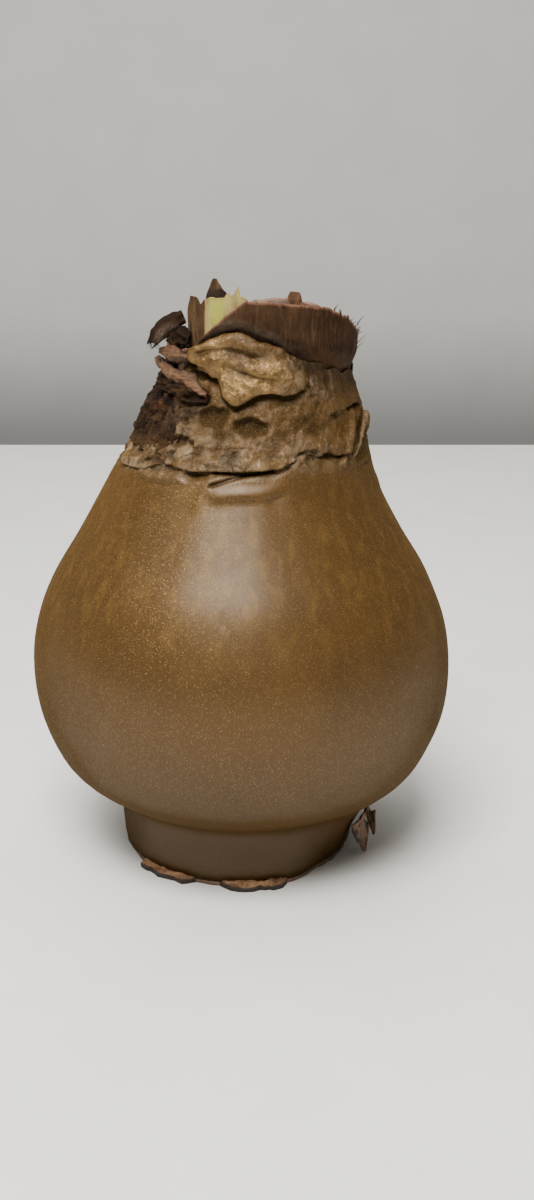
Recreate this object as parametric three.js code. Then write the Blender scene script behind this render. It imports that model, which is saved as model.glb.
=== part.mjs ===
// Waxed amaryllis bulb, standing on its root plate. Millimetres, +Z up, front towards -Y.
// A shell of bronze wax covers the bulb from the foot to the neck. The neck is cut across:
// dry outer skins and a few torn scales stand out of the wax around the cut.
import * as THREE from 'three';

// Driving dimensions
const bodyRadius = 48.1; // widest, a little above a third of the height
const footRadius = 29;
const neckRadius = 21.8;
const rimHeight = 126.9; // highest part of the cut neck
const waxThickness = 2.2;
const waxThicknessAtNeck = 1.35;
const gap = 0.35; // between pieces that touch
const plateRadius = 27.9; // root plate, the flat face that the bulb rests on
const plateThickness = 0.9;
const skirtHeight = 1.3; // lower edge of the wax above the surface
const neckFoot = 92; // the belly ends and the neck begins
const shoulderHeight = 100; // the bulb steps in here to make room for the skins
const skinFoot = 102.5; // where skins and scales start, inside the wax
const coreRadius = 19.25; // bulb inside the skins
const coreNotchRadius = 17.25; // the same, behind the torn scales at the front left
const skinInner = 19.6;
const skinOuter = 20.1;
const scaleInner = 17.6;
const scaleOuter = 19.3;
const collarFlare = 1.5; // skins open out by this much above the wax
const turnedColumns = 44;

// Outer radius of the wax [height, radius]
const waxProfile = [
  [0, 27.6], [3, 28.6], [7, footRadius], [10, 30], [13.5, 34.5], [19, 39.5], [27, 44.2],
  [36, 47.3], [46, bodyRadius], [56, 46.6], [66, 42.6], [76, 36.5], [86, 31], [92, 28.3],
  [98, 25.5], [104, 23.7], [111, 22.3], [117, neckRadius], [140, neckRadius],
];
// Sideways lean of the neck towards +X [height, shift]
const neckLean = [[0, 0], [80, 0], [88, 0.3], [96, 1.8], [104, 3.3], [112, 4.1], [127, 4.4], [140, 4.4]];
// Upper edge of the wax [angle, height]; angles run from the front, + to the right
const waxTop = [
  [-180, 115], [-130, 110], [-100, 99], [-54, 99], [-48, 107], [-42, 115], [-30, 118.4], [-15, 120.2], [-5, 120],
  [10, 118], [25, 114], [40, 112], [60, 111.5], [80, 112], [100, 113], [180, 115],
];
// Cut edge of the bulb itself [angle, height]
const bulbRim = [
  [-180, 123], [-145, 121], [-125, 117.5], [-60, 117.5], [-48, 119], [-10, 125.5], [5, rimHeight],
  [40, 125], [90, 120.5], [120, 121.5], [180, 123],
];
// Torn upper edge of the front skin and of the back skin [angle, height]
const frontSkinTop = [
  [-52, 116.2], [-43, 117], [-33, 119.6], [-21, 123], [-8, 126.9], [6, 126.8], [22, 126.3],
  [42, 125.2], [55, 123.4], [68, 121.3], [86, 119], [98, 120.5],
];
const backSkinTop = [[100, 120.5], [130, 122.3], [180, 123.5], [210, 121.8], [235, 117.8], [258, 116]];
// Lower lip of the wax fold below the collar, and the ledge at the foot of the neck
const foldLip = [[-42, 115], [-30, 113], [-18, 110.4], [-9, 107.4], [2, 109.6], [23, 109.6], [30, 110.5]];
const ledgeLine = [[-180, 96], [-89, 95], [-55, 97.5], [-21, 96.5], [15, 96.7], [45, 97.6], [80, 96], [180, 96]];

const material = (color, roughness) => new THREE.MeshStandardMaterial({ color, roughness, metalness: 0 });
const waxFinish = new THREE.MeshStandardMaterial({ color: '#7a5628', roughness: 0.42, metalness: 0.25 });
const bulbFlesh = material('#b9987a', 0.7);
const drySkin = material('#4a3526', 0.85);
const greenScale = material('#a3a35c', 0.55);
const brownScale = material('#6b4f32', 0.8);
const pinkScale = material('#96705a', 0.65);
const blackScale = material('#241a14', 0.8);
const rootBark = material('#8a5a30', 0.8);

// Straight line through [x, y] points, held level past both ends
function alongLine(points, x) {
  const last = points.length - 1;
  if (x <= points[0][0]) return points[0][1];
  for (let i = 0; i < last; i++) {
    const [x0, y0] = points[i];
    const [x1, y1] = points[i + 1];
    if (x <= x1) return THREE.MathUtils.mapLinear(x, x0, x1, y0, y1);
  }
  return points[last][1];
}

// Smooth curve through [x, y] points: cubic, with the slope of each neighbour pair
function alongCurve(points, x) {
  const last = points.length - 1;
  const slopeAt = (i) => {
    const a = points[Math.max(i - 1, 0)];
    const b = points[Math.min(i + 1, last)];
    return (b[1] - a[1]) / (b[0] - a[0]);
  };
  let i = 0;
  while (i < last - 1 && x > points[i + 1][0]) i++;
  const [x0, y0] = points[i];
  const [x1, y1] = points[i + 1];
  const span = x1 - x0;
  const t = THREE.MathUtils.clamp((x - x0) / span, 0, 1);
  const t2 = t * t;
  const t3 = t2 * t;
  return (2 * t3 - 3 * t2 + 1) * y0 + (t3 - 2 * t2 + t) * span * slopeAt(i)
    + (3 * t2 - 2 * t3) * y1 + (t3 - t2) * span * slopeAt(i + 1);
}

const smooth = THREE.MathUtils.smoothstep;
const waxRadius = (z) => alongCurve(waxProfile, z);
const waxWall = (z) => THREE.MathUtils.lerp(waxThickness, waxThicknessAtNeck, smooth(z, 85, 104));
const bump = (x, middle, width) => Math.exp(-(((x - middle) / width) ** 2));
const angleOf = (v) => THREE.MathUtils.radToDeg(Math.atan2(v.x, -v.y));

// A point given by its angle from the front, height and distance from the bulb's axis
function atAngle(angle, z, radius) {
  const a = THREE.MathUtils.degToRad(angle);
  return new THREE.Vector3(radius * Math.sin(a), -radius * Math.cos(a), z);
}

// Every vertex moved by a rule, then out of round and leaned as the grown bulb is
function shaped(geometry, rule) {
  const spots = geometry.attributes.position;
  for (let i = 0; i < spots.count; i++) {
    const v = rule(new THREE.Vector3().fromBufferAttribute(spots, i));
    const round = 1 + 0.011 * Math.sin(2 * Math.atan2(v.x, -v.y));
    spots.setXYZ(i, v.x * round + alongCurve(neckLean, v.z), v.y * round, v.z);
  }
  geometry.computeVertexNormals();
  return geometry;
}

// A solid turned about the Z axis from a closed or axis-to-axis outline, seam at the front
function turned(outline, rule) {
  const lathe = new THREE.LatheGeometry(outline.map(([r, z]) => new THREE.Vector2(r, z)), turnedColumns);
  return shaped(lathe.rotateX(Math.PI / 2), rule);
}

// A thin sheet bent to place(u, v, w): u runs to the right, v up and w outwards, each 0 to 1
function sheet(columns, rows, place) {
  const block = new THREE.BoxGeometry(1, 1, 1, columns, rows, 1);
  return shaped(block, (v) => place(v.x + 0.5, v.y + 0.5, v.z + 0.5));
}

function part(name, geometry, finish) {
  const mesh = new THREE.Mesh(geometry, finish);
  mesh.name = name;
  return mesh;
}

// Relief on the outside of the wax: a draped fold, two thumb-sized pits and the torn ledge
function waxRelief(angle, z) {
  const lip = alongCurve(foldLip, angle);
  const across = smooth(angle, -46, -38) * (1 - smooth(angle, 24, 34));
  const fold = 1.1 * across * smooth(z, lip - 1, lip + 0.8) * (1 - smooth(z, lip + 4, lip + 9));
  const hollow = -0.5 * across * bump(z, lip - 2, 1.5);
  const pits = -0.6 * (bump(angle, -1, 6) * bump(z, 101.6, 1.6) + bump(angle, -23, 7) * bump(z, 105, 2));
  const ledge = 0.6 * bump(z, alongCurve(ledgeLine, angle), 1.3);
  return fold + hollow + pits + ledge;
}

// Heights of the rings that the wax and the bulb inside it share: close at the foot, wider above
const bodyHeights = [];
for (let z = skirtHeight; z < neckFoot - 4; z += Math.min(2.3 + 0.12 * z, 7)) bodyHeights.push(z);

function waxCoat() {
  const top = 120; // before the upper edge is drawn to its torn line
  const heights = [...bodyHeights];
  for (let z = neckFoot; z <= top; z += 2) heights.push(z);
  const outside = heights.map((z) => [waxRadius(z), z]);
  const inside = heights.map((z) => [waxRadius(z) - waxWall(z), z]).reverse();
  const edge = [[waxRadius(top) - 0.45 * waxWall(top), top + 0.5]];
  const outline = [...outside, ...edge, ...inside, outside[0]];
  return turned(outline, (v) => {
    const angle = angleOf(v);
    const depth = (waxRadius(v.z) - Math.hypot(v.x, v.y)) / waxWall(v.z);
    const drawn = (alongLine(waxTop, angle) - neckFoot) / (top - neckFoot);
    const z = v.z < neckFoot ? v.z : neckFoot + (v.z - neckFoot) * drawn;
    const relief = waxRelief(angle, z) * THREE.MathUtils.clamp(1 - 1.2 * depth, 0, 1);
    return atAngle(angle, z, waxRadius(z) - depth * waxWall(z) + relief);
  });
}

// The grown bulb: root plate, body that fills the wax, neck and the cut scales as rings
function bulb() {
  const inWax = (z) => waxRadius(z) - waxWall(z) - gap;
  const plate = [[0, 0], [plateRadius, 0], [plateRadius, plateThickness], [inWax(skirtHeight), plateThickness]];
  const body = bodyHeights.slice(1).map((z) => [inWax(z), z]);
  body.push([inWax(96) - gap, 96]);
  const neck = [[coreRadius + 1.6, shoulderHeight - 0.6], [coreRadius, skinFoot - 1.2], [coreRadius, 113]];
  const rings = [];
  for (let r = coreRadius; r > 3; r -= 4.4) {
    rings.push([r, rimHeight - 0.3], [r - 2.2, rimHeight], [r - 2.7, rimHeight - 1.3]);
  }
  const outline = [...plate, ...body, ...neck, ...rings, [0, rimHeight - 0.9]];
  return turned(outline, (v) => {
    const angle = angleOf(v);
    const radius = Math.hypot(v.x, v.y);
    if (v.z < skinFoot - 1.5) return v;
    const notch = smooth(angle, -58, -52) * (1 - smooth(angle, -7, -1));
    const narrow = THREE.MathUtils.lerp(1, coreNotchRadius / coreRadius, notch);
    const drop = (rimHeight - alongCurve(bulbRim, angle)) * smooth(radius, 2, coreRadius);
    const share = smooth(v.z, skinFoot, rimHeight - 2);
    const middleDrop = 2.2 * (1 - smooth(radius, 2, coreRadius)) * share;
    return atAngle(angle, v.z - drop * share - middleDrop, radius * narrow);
  });
}

// A dry skin around the neck: inside the wax below, opening out into a collar above it
function drySkinSheet(columns, from, to, topEdge) {
  const waxNear = (angle) => Math.max(...[-7, 0, 7].map((step) => {
    const turn = angle + step;
    return alongLine(waxTop, turn > 180 ? turn - 360 : turn);
  }));
  return sheet(columns, 8, (u, v, w) => {
    const angle = THREE.MathUtils.lerp(from, to, u);
    const top = alongLine(topEdge, angle);
    const bend = waxNear(angle) + 0.9;
    const start = Math.min(bend, top - 1.2);
    const z = v < 0.25
      ? THREE.MathUtils.lerp(skinFoot, start, v / 0.25)
      : THREE.MathUtils.lerp(start, top, (v - 0.25) / 0.75);
    const flare = collarFlare * smooth(z, bend, bend + 2.2);
    return atAngle(angle, z, THREE.MathUtils.lerp(skinInner, skinOuter, w) + flare);
  });
}

// A torn scale that stands in the notch of the bulb, between two distances from the axis
function tornScale(columns, from, to, inner, outer, topEdge) {
  return sheet(columns, 5, (u, v, w) => {
    const angle = THREE.MathUtils.lerp(from, to, u);
    const z = THREE.MathUtils.lerp(skinFoot, alongLine(topEdge, angle), v);
    return atAngle(angle, z, THREE.MathUtils.lerp(inner, outer, w));
  });
}

const greenScaleSheet = () => tornScale(9, -34, -8, scaleOuter - 0.7, scaleOuter,
  [[-34, 126.8], [-31, 127.9], [-21, 127.6], [-15, 128.2], [-12, 127.6], [-8, 126.9]]);
const brownTabSheet = () => tornScale(6, -49, -35.5, scaleOuter - 0.7, scaleOuter,
  [[-49, 125.2], [-46, 127.2], [-41, 127], [-38.5, 125.6], [-35.5, 126.8]]);
const dryTipSheet = () => tornScale(6, -35, -20, scaleInner, scaleInner + 0.7,
  [[-35, 127.6], [-31, 129.4], [-27.5, 131.6], [-24, 129], [-20, 127]]);

// Crumpled skin on the left of the neck, where the wax is torn away
function crumpledSkin() {
  const top = [[-98, 112.5], [-85, 114], [-72, 115.2], [-60, 116.4], [-53, 115.2]];
  return sheet(8, 9, (u, v, w) => {
    const angle = THREE.MathUtils.lerp(-97, -54, u);
    const z = THREE.MathUtils.lerp(skinFoot - 0.8, alongLine(top, angle), v);
    const bulge = 2.3 * bump(z, 105, 4.5) * smooth(z, 101, 104);
    const crumple = 0.4 * (1 + Math.sin(angle * 0.55 + z * 1.1)) * smooth(z, 101, 104) * (1 - smooth(z, 109, 113));
    return atAngle(angle, z, skinInner + bulge + crumple + 0.9 * w);
  });
}

// Curled end of a dry skin, a small half-pipe that stands off the left of the neck
function curledFlap() {
  const axis = new THREE.CatmullRomCurve3([
    new THREE.Vector3(-23.4, -9.6, 118.7), new THREE.Vector3(-19.9, -9.4, 121.2),
    new THREE.Vector3(-16.4, -8.6, 123.2),
  ]);
  const across = new THREE.Vector3(0.25, -0.9, 0.2).normalize();
  return sheet(6, 7, (u, v, w) => {
    const along = axis.getTangentAt(u);
    const side = new THREE.Vector3().crossVectors(along, across).normalize();
    const turn = THREE.MathUtils.lerp(-0.75, 0.45, v) * Math.PI;
    const radius = (1.5 + 0.5 * u) + 0.5 * w;
    return axis.getPointAt(u)
      .addScaledVector(across, radius * Math.cos(turn))
      .addScaledVector(side, -radius * Math.sin(turn));
  });
}

// Distance from the axis that clears the relief of the wax around a spot
function overWax(angle, z) {
  let highest = 0;
  for (const side of [-5, 0, 5]) {
    for (const rise of [-1.5, 0, 1.5]) highest = Math.max(highest, waxRelief(angle + side, z + rise));
  }
  return waxRadius(z) + highest + 2 * gap;
}

// A strip that lies on the outside of the neck along a line of [angle, height] points
function stripOnNeck(columns, line, width, thickness) {
  const from = line[0][0];
  const to = line[line.length - 1][0];
  return sheet(columns, 3, (u, v, w) => {
    const angle = THREE.MathUtils.lerp(from, to, u);
    const taper = 0.35 + 0.65 * Math.sin(Math.PI * THREE.MathUtils.lerp(0.08, 0.92, u));
    const z = alongCurve(line, angle) + width * taper * (v - 0.5);
    return atAngle(angle, z, overWax(angle, z) + thickness * w * (0.4 + 0.6 * Math.sin(Math.PI * v)));
  });
}

const pinkStrip = () => stripOnNeck(10, [[-72, 113.6], [-62, 112.2], [-48, 111.6], [-35, 109.8], [-24, 107.2]], 2.4, 0.9);
const blackShred = () => stripOnNeck(7, [[-52, 107.4], [-44, 106.4], [-33, 106], [-25, 104.8]], 1.8, 0.7);

// Loose waxed flap on the right of the neck, its upper end rolled into a knob
function looseFlap() {
  const line = [[0, 94.6], [0.35, 96.2], [0.7, 98.2], [1, 100.2]];
  return sheet(8, 5, (u, v, w) => {
    const angle = THREE.MathUtils.lerp(64, 96, u);
    const z = alongCurve(line, v) + 0.6 * Math.sin(Math.PI * u);
    const lift = 0.7 * v * Math.sin(Math.PI * u);
    return atAngle(angle, z, overWax(angle, z) + lift + (0.5 + 0.5 * v) * w);
  });
}

// Ragged flake of root bark that sticks out flat from under the wax
function rootFlake(columns, from, to, reach, lift) {
  return sheet(columns, 3, (u, v, w) => {
    const angle = THREE.MathUtils.lerp(from, to, u);
    const ragged = Math.sin(Math.PI * u) ** 0.6 * (0.82 + 0.18 * Math.sin(angle * 1.3));
    const inner = plateRadius + gap;
    const radius = inner + 0.25 + (reach * ragged) * (1 - v);
    const rise = lift * ragged * v;
    return atAngle(angle, 0.1 + rise + w * 0.75, radius);
  });
}

// Stiff strip of bark that hangs beside the foot on the right
function barkStrip(from, to, lowEnd, highEnd, stand, thickness) {
  return sheet(4, 8, (u, v, w) => {
    const angle = THREE.MathUtils.lerp(from, to, u);
    const z = THREE.MathUtils.lerp(lowEnd, highEnd, v);
    const outline = Math.max(waxRadius(z), footRadius) + 2 * gap + stand * (1 - v) ** 1.5;
    return atAngle(angle, z, outline + thickness * w);
  });
}

const model = new THREE.Group();
model.add(
  part('wax_coat', waxCoat(), waxFinish),
  part('bulb', bulb(), bulbFlesh),
  part('dry_skin_front', drySkinSheet(21, -51, 98, frontSkinTop), drySkin),
  part('dry_skin_back', drySkinSheet(18, 101, 258, backSkinTop), drySkin),
  part('green_scale', greenScaleSheet(), greenScale),
  part('brown_tab', brownTabSheet(), brownScale),
  part('dry_tip', dryTipSheet(), brownScale),
  part('crumpled_skin_left', crumpledSkin(), blackScale),
  part('curled_flap', curledFlap(), drySkin),
  part('pink_strip', pinkStrip(), pinkScale),
  part('black_shred', blackShred(), blackScale),
  part('loose_flap_right', looseFlap(), waxFinish),
  part('root_flake_left', rootFlake(10, -57, -24, 1.6, 1.2), rootBark),
  part('root_flake_front', rootFlake(10, -15, 27, 1.4, 1.4), rootBark),
  part('root_flap_right', barkStrip(60, 76, 0.4, 8.2, 1.6, 0.8), rootBark),
  part('root_strip_right', barkStrip(79, 85, 1.6, 8.8, 2.4, 0.6), rootBark),
);

export default model;
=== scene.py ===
import bpy
import math
import numpy as np
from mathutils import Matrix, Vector


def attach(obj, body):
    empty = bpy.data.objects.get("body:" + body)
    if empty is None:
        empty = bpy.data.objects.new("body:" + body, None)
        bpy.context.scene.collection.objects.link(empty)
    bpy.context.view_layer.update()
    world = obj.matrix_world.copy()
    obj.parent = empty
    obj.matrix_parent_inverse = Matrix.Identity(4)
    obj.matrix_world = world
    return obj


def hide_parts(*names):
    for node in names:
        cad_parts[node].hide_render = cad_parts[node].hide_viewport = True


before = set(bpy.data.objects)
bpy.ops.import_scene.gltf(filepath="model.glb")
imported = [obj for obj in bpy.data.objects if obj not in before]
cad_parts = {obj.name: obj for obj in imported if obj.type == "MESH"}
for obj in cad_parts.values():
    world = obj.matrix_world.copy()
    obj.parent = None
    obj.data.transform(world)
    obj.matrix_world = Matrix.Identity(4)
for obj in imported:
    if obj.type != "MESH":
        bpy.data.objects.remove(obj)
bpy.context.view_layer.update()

mm = 0.001

# the grown shape, in mm: everything below is placed on it
bulbShape = dict(
    # outside of the wax (height, radius)
    profile=[(0, 27.6), (3, 28.6), (7, 29), (10, 30), (13.5, 34.5), (19, 39.5), (27, 44.2), (36, 47.3),
             (46, 48.1), (56, 46.6), (66, 42.6), (76, 36.5), (86, 31), (92, 28.3), (98, 25.5), (104, 23.7),
             (111, 22.3), (117, 21.8), (140, 21.8)],
    # sideways lean of the neck (height, shift to the right)
    lean=[(0, 0), (80, 0), (88, 0.3), (96, 1.8), (104, 3.3), (112, 4.1), (127, 4.4), (140, 4.4)],
    outOfRound=0.011,
    wall=2.2, wallAtNeck=1.35,
)


def curveThrough(points):  # smooth curve through (x, y) points, held level past the ends
    xs, ys = np.array(points, float).T
    slopes = np.empty_like(ys)
    slopes[1:-1] = (ys[2:] - ys[:-2]) / (xs[2:] - xs[:-2])
    slopes[0] = (ys[1] - ys[0]) / (xs[1] - xs[0])
    slopes[-1] = (ys[-1] - ys[-2]) / (xs[-1] - xs[-2])

    def at(x):
        x = np.clip(np.asarray(x, float), xs[0], xs[-1])
        i = np.clip(np.searchsorted(xs, x, side="right") - 1, 0, len(xs) - 2)
        span = xs[i + 1] - xs[i]
        t = (x - xs[i]) / span
        return ((2 * t**3 - 3 * t**2 + 1) * ys[i] + (t**3 - 2 * t**2 + t) * span * slopes[i]
                + (3 * t**2 - 2 * t**3) * ys[i + 1] + (t**3 - t**2) * span * slopes[i + 1])
    return at


def lineThrough(points):
    xs, ys = np.array(points, float).T
    return lambda x: np.interp(x, xs, ys)


def smooth(x, low, high):  # 0 below low, 1 above high
    t = np.clip((np.asarray(x, float) - low) / (high - low), 0, 1)
    return t * t * (3 - 2 * t)


def hump(x, middle, width):
    return np.exp(-((np.asarray(x, float) - middle) / width) ** 2)


def between(x, start, end, fade):
    return smooth(x, start - fade, start + fade) * (1 - smooth(x, end - fade, end + fade))


waxRadius = curveThrough(bulbShape["profile"])
neckLean = curveThrough(bulbShape["lean"])


def footLift(angle, z):  # the belly ends higher above the floor at the front and left
    shift = 0.6 + 3.4 * (1 - smooth(np.abs(angle + 45), 75, 125))
    return waxRadius(z - shift * smooth(z, 2, 9) * (1 - smooth(z, 15, 25)))


def waxWall(z):
    return bulbShape["wall"] + (bulbShape["wallAtNeck"] - bulbShape["wall"]) * smooth(z, 85, 104)


def onBulb(angle, z, radius):  # angle in degrees from the front, + to the right; result in mm
    a = np.radians(angle)
    radius = radius * (1 + bulbShape["outOfRound"] * np.sin(2 * a))
    return np.stack(np.broadcast_arrays(radius * np.sin(a) + neckLean(z), -radius * np.cos(a), z), axis=-1)


# noise for the meshes: the same on every run
def latticeValue(ix, iy, iz, seed):
    h = (ix * 73856093) ^ (iy * 19349663) ^ (iz * 83492791) ^ (seed * 2654435)
    h = (h ^ (h >> 13)) * 1274126177
    h = (h ^ (h >> 16)) & 0xFFFF
    return h / 32767.5 - 1


def cloud(p, size, seed=0, octaves=1):  # soft lumps about `size` mm across, roughly -1 to 1
    total = 0
    for o in range(octaves):
        q = np.asarray(p, float) / size * 2**o + 37.7 * seed + 11.3 * o
        cell = np.floor(q).astype(np.int64)
        f = q - cell
        f = f * f * (3 - 2 * f)
        value = 0
        for dx in (0, 1):
            for dy in (0, 1):
                for dz in (0, 1):
                    w = ((f[..., 0] if dx else 1 - f[..., 0]) * (f[..., 1] if dy else 1 - f[..., 1])
                         * (f[..., 2] if dz else 1 - f[..., 2]))
                    value = value + w * latticeValue(cell[..., 0] + dx, cell[..., 1] + dy,
                                                     cell[..., 2] + dz, seed + o)
        total = total + value / 2**o
    return total


def creased(p, size, seed=0, octaves=2):  # sharp ridges, 0 to 1
    total, weight = 0, 1.0
    for o in range(octaves):
        total = total + weight * (1 - np.abs(cloud(p, size / 2**o, seed + 7 * o)) * 2.2)
        weight *= 0.5
    return np.clip(total / 1.5, -0.6, 1)


def flatPoint(angle, z, layer=0.0):  # the neck unrolled, for noise that must follow its surface
    angle, z = np.broadcast_arrays(np.asarray(angle, float), np.asarray(z, float))
    return np.stack([np.sin(np.radians(angle)) * 22, np.cos(np.radians(angle)) * 22, z + layer], axis=-1)


def distanceToLine(angle, z, points):  # mm, on the neck
    perDegree = 0.4
    best = np.full(np.broadcast(angle, z).shape, 1e9)
    for (a0, z0), (a1, z1) in zip(points[:-1], points[1:]):
        dx, dz = (a1 - a0) * perDegree, z1 - z0
        t = np.clip(((angle - a0) * perDegree * dx + (z - z0) * dz) / (dx * dx + dz * dz), 0, 1)
        best = np.minimum(best, np.hypot((angle - a0) * perDegree - t * dx, z - z0 - t * dz))
    return best


# meshes
def makePiece(name, points, faces, masks, material, nodes=()):
    mesh = bpy.data.meshes.new(name)
    points = np.asarray(points, float).reshape(-1, 3) * mm
    mesh.from_pydata(points.tolist(), [], faces)
    mesh.polygons.foreach_set("use_smooth", [True] * len(mesh.polygons))
    for key, values in (masks or {}).items():
        layer = mesh.attributes.new(key, "FLOAT", "POINT")
        layer.data.foreach_set("value", np.clip(np.asarray(values, float), 0, 1).ravel())
    mesh.materials.append(material)
    mesh.update()
    piece = bpy.data.objects.new(name, mesh)
    bpy.context.scene.collection.objects.link(piece)
    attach(piece, "root")
    if nodes:
        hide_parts(*nodes)
    return piece


def ringFaces(rows, columns, closedRows=False):  # rows of points that close round in a ring
    i = np.arange(rows if closedRows else rows - 1)[:, None] * columns
    j = np.arange(columns)[None, :]
    k = (j + 1) % columns
    up = (i + columns) % (rows * columns)
    return np.stack([i + j, i + k, up + k, up + j], axis=-1).reshape(-1, 4).tolist()


def sheetPiece(name, front, back, frontMasks, material, nodes=()):
    # front and back are [rows, columns, 3]; joined along all four edges into one closed skin
    rows, columns = front.shape[:2]
    loop = np.concatenate([front, back[:, ::-1]], axis=1)
    width = 2 * columns
    faces = ringFaces(rows, width)
    for row, flip in ((0, True), (rows - 1, False)):
        for j in range(columns - 1):
            a, b = row * width + j, row * width + j + 1
            c, d = row * width + width - 2 - j, row * width + width - 1 - j
            faces.append([a, d, c, b] if flip else [a, b, c, d])
    masks = {k: np.concatenate([m, m[:, ::-1]], axis=1)
             for k, m in ((k, np.broadcast_to(m, (rows, columns))) for k, m in frontMasks.items())}
    return makePiece(name, loop, faces, masks, material, nodes)


# shader helpers
class Wiring:  # short hand for building one node tree
    def __init__(self, tree):
        self.tree = tree
        self.place = 0

    def node(self, kind, inputs=None, **settings):
        n = self.tree.nodes.new(kind)
        n.location = (self.place * 190 - 1600, -(self.place % 4) * 170)
        self.place += 1
        for key, value in settings.items():
            setattr(n, key, value)
        for key, value in (inputs or {}).items():
            socket = n.inputs[key]
            if isinstance(value, bpy.types.NodeSocket):
                self.tree.links.new(value, socket)
            else:
                socket.default_value = value
        return n

    def math(self, operation, a, b=0.0, clamp=False):
        return self.node("ShaderNodeMath", {0: a, 1: b}, operation=operation, use_clamp=clamp).outputs[0]

    def mix(self, amount, a, b, blend="MIX"):
        n = self.node("ShaderNodeMix", data_type="RGBA", blend_type=blend)
        for key, value in (("Factor_Float", amount), ("A_Color", a), ("B_Color", b)):
            socket = next(s for s in n.inputs if s.identifier == key)
            if isinstance(value, bpy.types.NodeSocket):
                self.tree.links.new(value, socket)
            else:
                socket.default_value = value
        return next(s for s in n.outputs if s.identifier == "Result_Color")

    def range(self, value, low, high, newLow=0.0, newHigh=1.0):
        return self.node("ShaderNodeMapRange", {"Value": value, "From Min": low, "From Max": high,
                                                "To Min": newLow, "To Max": newHigh}).outputs["Result"]

    def noise(self, vector, scale, detail=3.0, roughness=0.55, distortion=0.0):
        return self.node("ShaderNodeTexNoise", {"Vector": vector, "Scale": scale, "Detail": detail,
                                                "Roughness": roughness,
                                                "Distortion": distortion}).outputs["Fac"]

    def stretched(self, vector, x, y, z):
        return self.node("ShaderNodeMapping", {"Vector": vector, "Scale": (x, y, z)}).outputs["Vector"]

    def mask(self, name):
        return self.node("ShaderNodeAttribute", attribute_name=name).outputs["Fac"]

    def bump(self, height, strength, distance, normal=None):
        inputs = {"Height": height, "Strength": strength, "Distance": distance}
        if normal is not None:
            inputs["Normal"] = normal
        return self.node("ShaderNodeBump", inputs).outputs["Normal"]


def makeGroup(name, inputs, outputs):  # inputs: (name, socket type, default)
    group = bpy.data.node_groups.new(name, "ShaderNodeTree")
    for label, kind, default in inputs:
        socket = group.interface.new_socket(label, in_out="INPUT", socket_type=kind)
        if default is not None:
            socket.default_value = default
    for label, kind in outputs:
        group.interface.new_socket(label, in_out="OUTPUT", socket_type=kind)
    w = Wiring(group)
    return group, w, w.node("NodeGroupInput").outputs, w.node("NodeGroupOutput")


def useGroup(w, group, inputs):
    n = w.node("ShaderNodeGroup", node_tree=group)
    for key, value in inputs.items():
        if isinstance(value, bpy.types.NodeSocket):
            w.tree.links.new(value, n.inputs[key])
        else:
            n.inputs[key].default_value = value
    return n.outputs


def newMaterial(name):
    material = bpy.data.materials.new(name)
    material.use_nodes = True
    material.node_tree.nodes.clear()
    w = Wiring(material.node_tree)
    place = w.node("ShaderNodeTexCoord").outputs["Object"]
    return material, w, place


def finishMaterial(w, inputs):
    shader = w.node("ShaderNodeBsdfPrincipled", inputs)
    out = w.node("ShaderNodeOutputMaterial")
    w.tree.links.new(shader.outputs["BSDF"], out.inputs["Surface"])


# gold flakes floating in the wax: each flake has its own tilt and its own chance to show
def goldFlakeGroup():
    group, w, given, out = makeGroup(
        "goldFlakes",
        [("Vector", "NodeSocketVector", None), ("Flake size", "NodeSocketFloat", 3300.0),
         ("Share", "NodeSocketFloat", 0.2), ("Tilt", "NodeSocketFloat", 0.5),
         ("Normal", "NodeSocketVector", None)],
        [("Flake", "NodeSocketFloat"), ("Normal", "NodeSocketVector")])
    cells = w.node("ShaderNodeTexVoronoi", {"Vector": given["Vector"], "Scale": given["Flake size"]})
    split = w.node("ShaderNodeSeparateColor", {"Color": cells.outputs["Color"]}).outputs
    chance = w.math("GREATER_THAN", split[0], w.math("SUBTRACT", 1.0, given["Share"]))
    dot = w.range(cells.outputs["Distance"], 0.30, 0.45, 1.0, 0.0)
    flake = w.math("MULTIPLY", chance, dot)
    lean = w.node("ShaderNodeVectorMath", {0: cells.outputs["Color"], 1: (0.5, 0.5, 0.5)},
                  operation="SUBTRACT")
    amount = w.math("MULTIPLY", flake, given["Tilt"])
    lean = w.node("ShaderNodeVectorMath", {0: lean.outputs[0], "Scale": amount}, operation="SCALE")
    normal = w.node("ShaderNodeVectorMath", {0: given["Normal"], 1: lean.outputs[0]}, operation="ADD")
    normal = w.node("ShaderNodeVectorMath", {0: normal.outputs[0]}, operation="NORMALIZE")
    w.tree.links.new(flake, out.inputs["Flake"])
    w.tree.links.new(normal.outputs[0], out.inputs["Normal"])
    return group


# dry plant fibres that run up the neck
def fibreGroup():
    group, w, given, out = makeGroup(
        "plantFibres",
        [("Vector", "NodeSocketVector", None), ("Across", "NodeSocketFloat", 900.0),
         ("Along", "NodeSocketFloat", 60.0)],
        [("Fine", "NodeSocketFloat"), ("Coarse", "NodeSocketFloat")])
    stretch = w.node("ShaderNodeCombineXYZ", {"X": given["Across"], "Y": given["Across"],
                                              "Z": given["Along"]})
    fine = w.node("ShaderNodeVectorMath", {0: given["Vector"], 1: stretch.outputs[0]}, operation="MULTIPLY")
    coarse = w.node("ShaderNodeVectorMath", {0: fine.outputs[0], 1: (0.3, 0.3, 0.5)}, operation="MULTIPLY")
    w.tree.links.new(w.noise(fine.outputs[0], 1.0, 3, 0.6, 0.3), out.inputs["Fine"])
    w.tree.links.new(w.noise(coarse.outputs[0], 1.0, 3, 0.55, 0.5), out.inputs["Coarse"])
    return group


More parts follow.
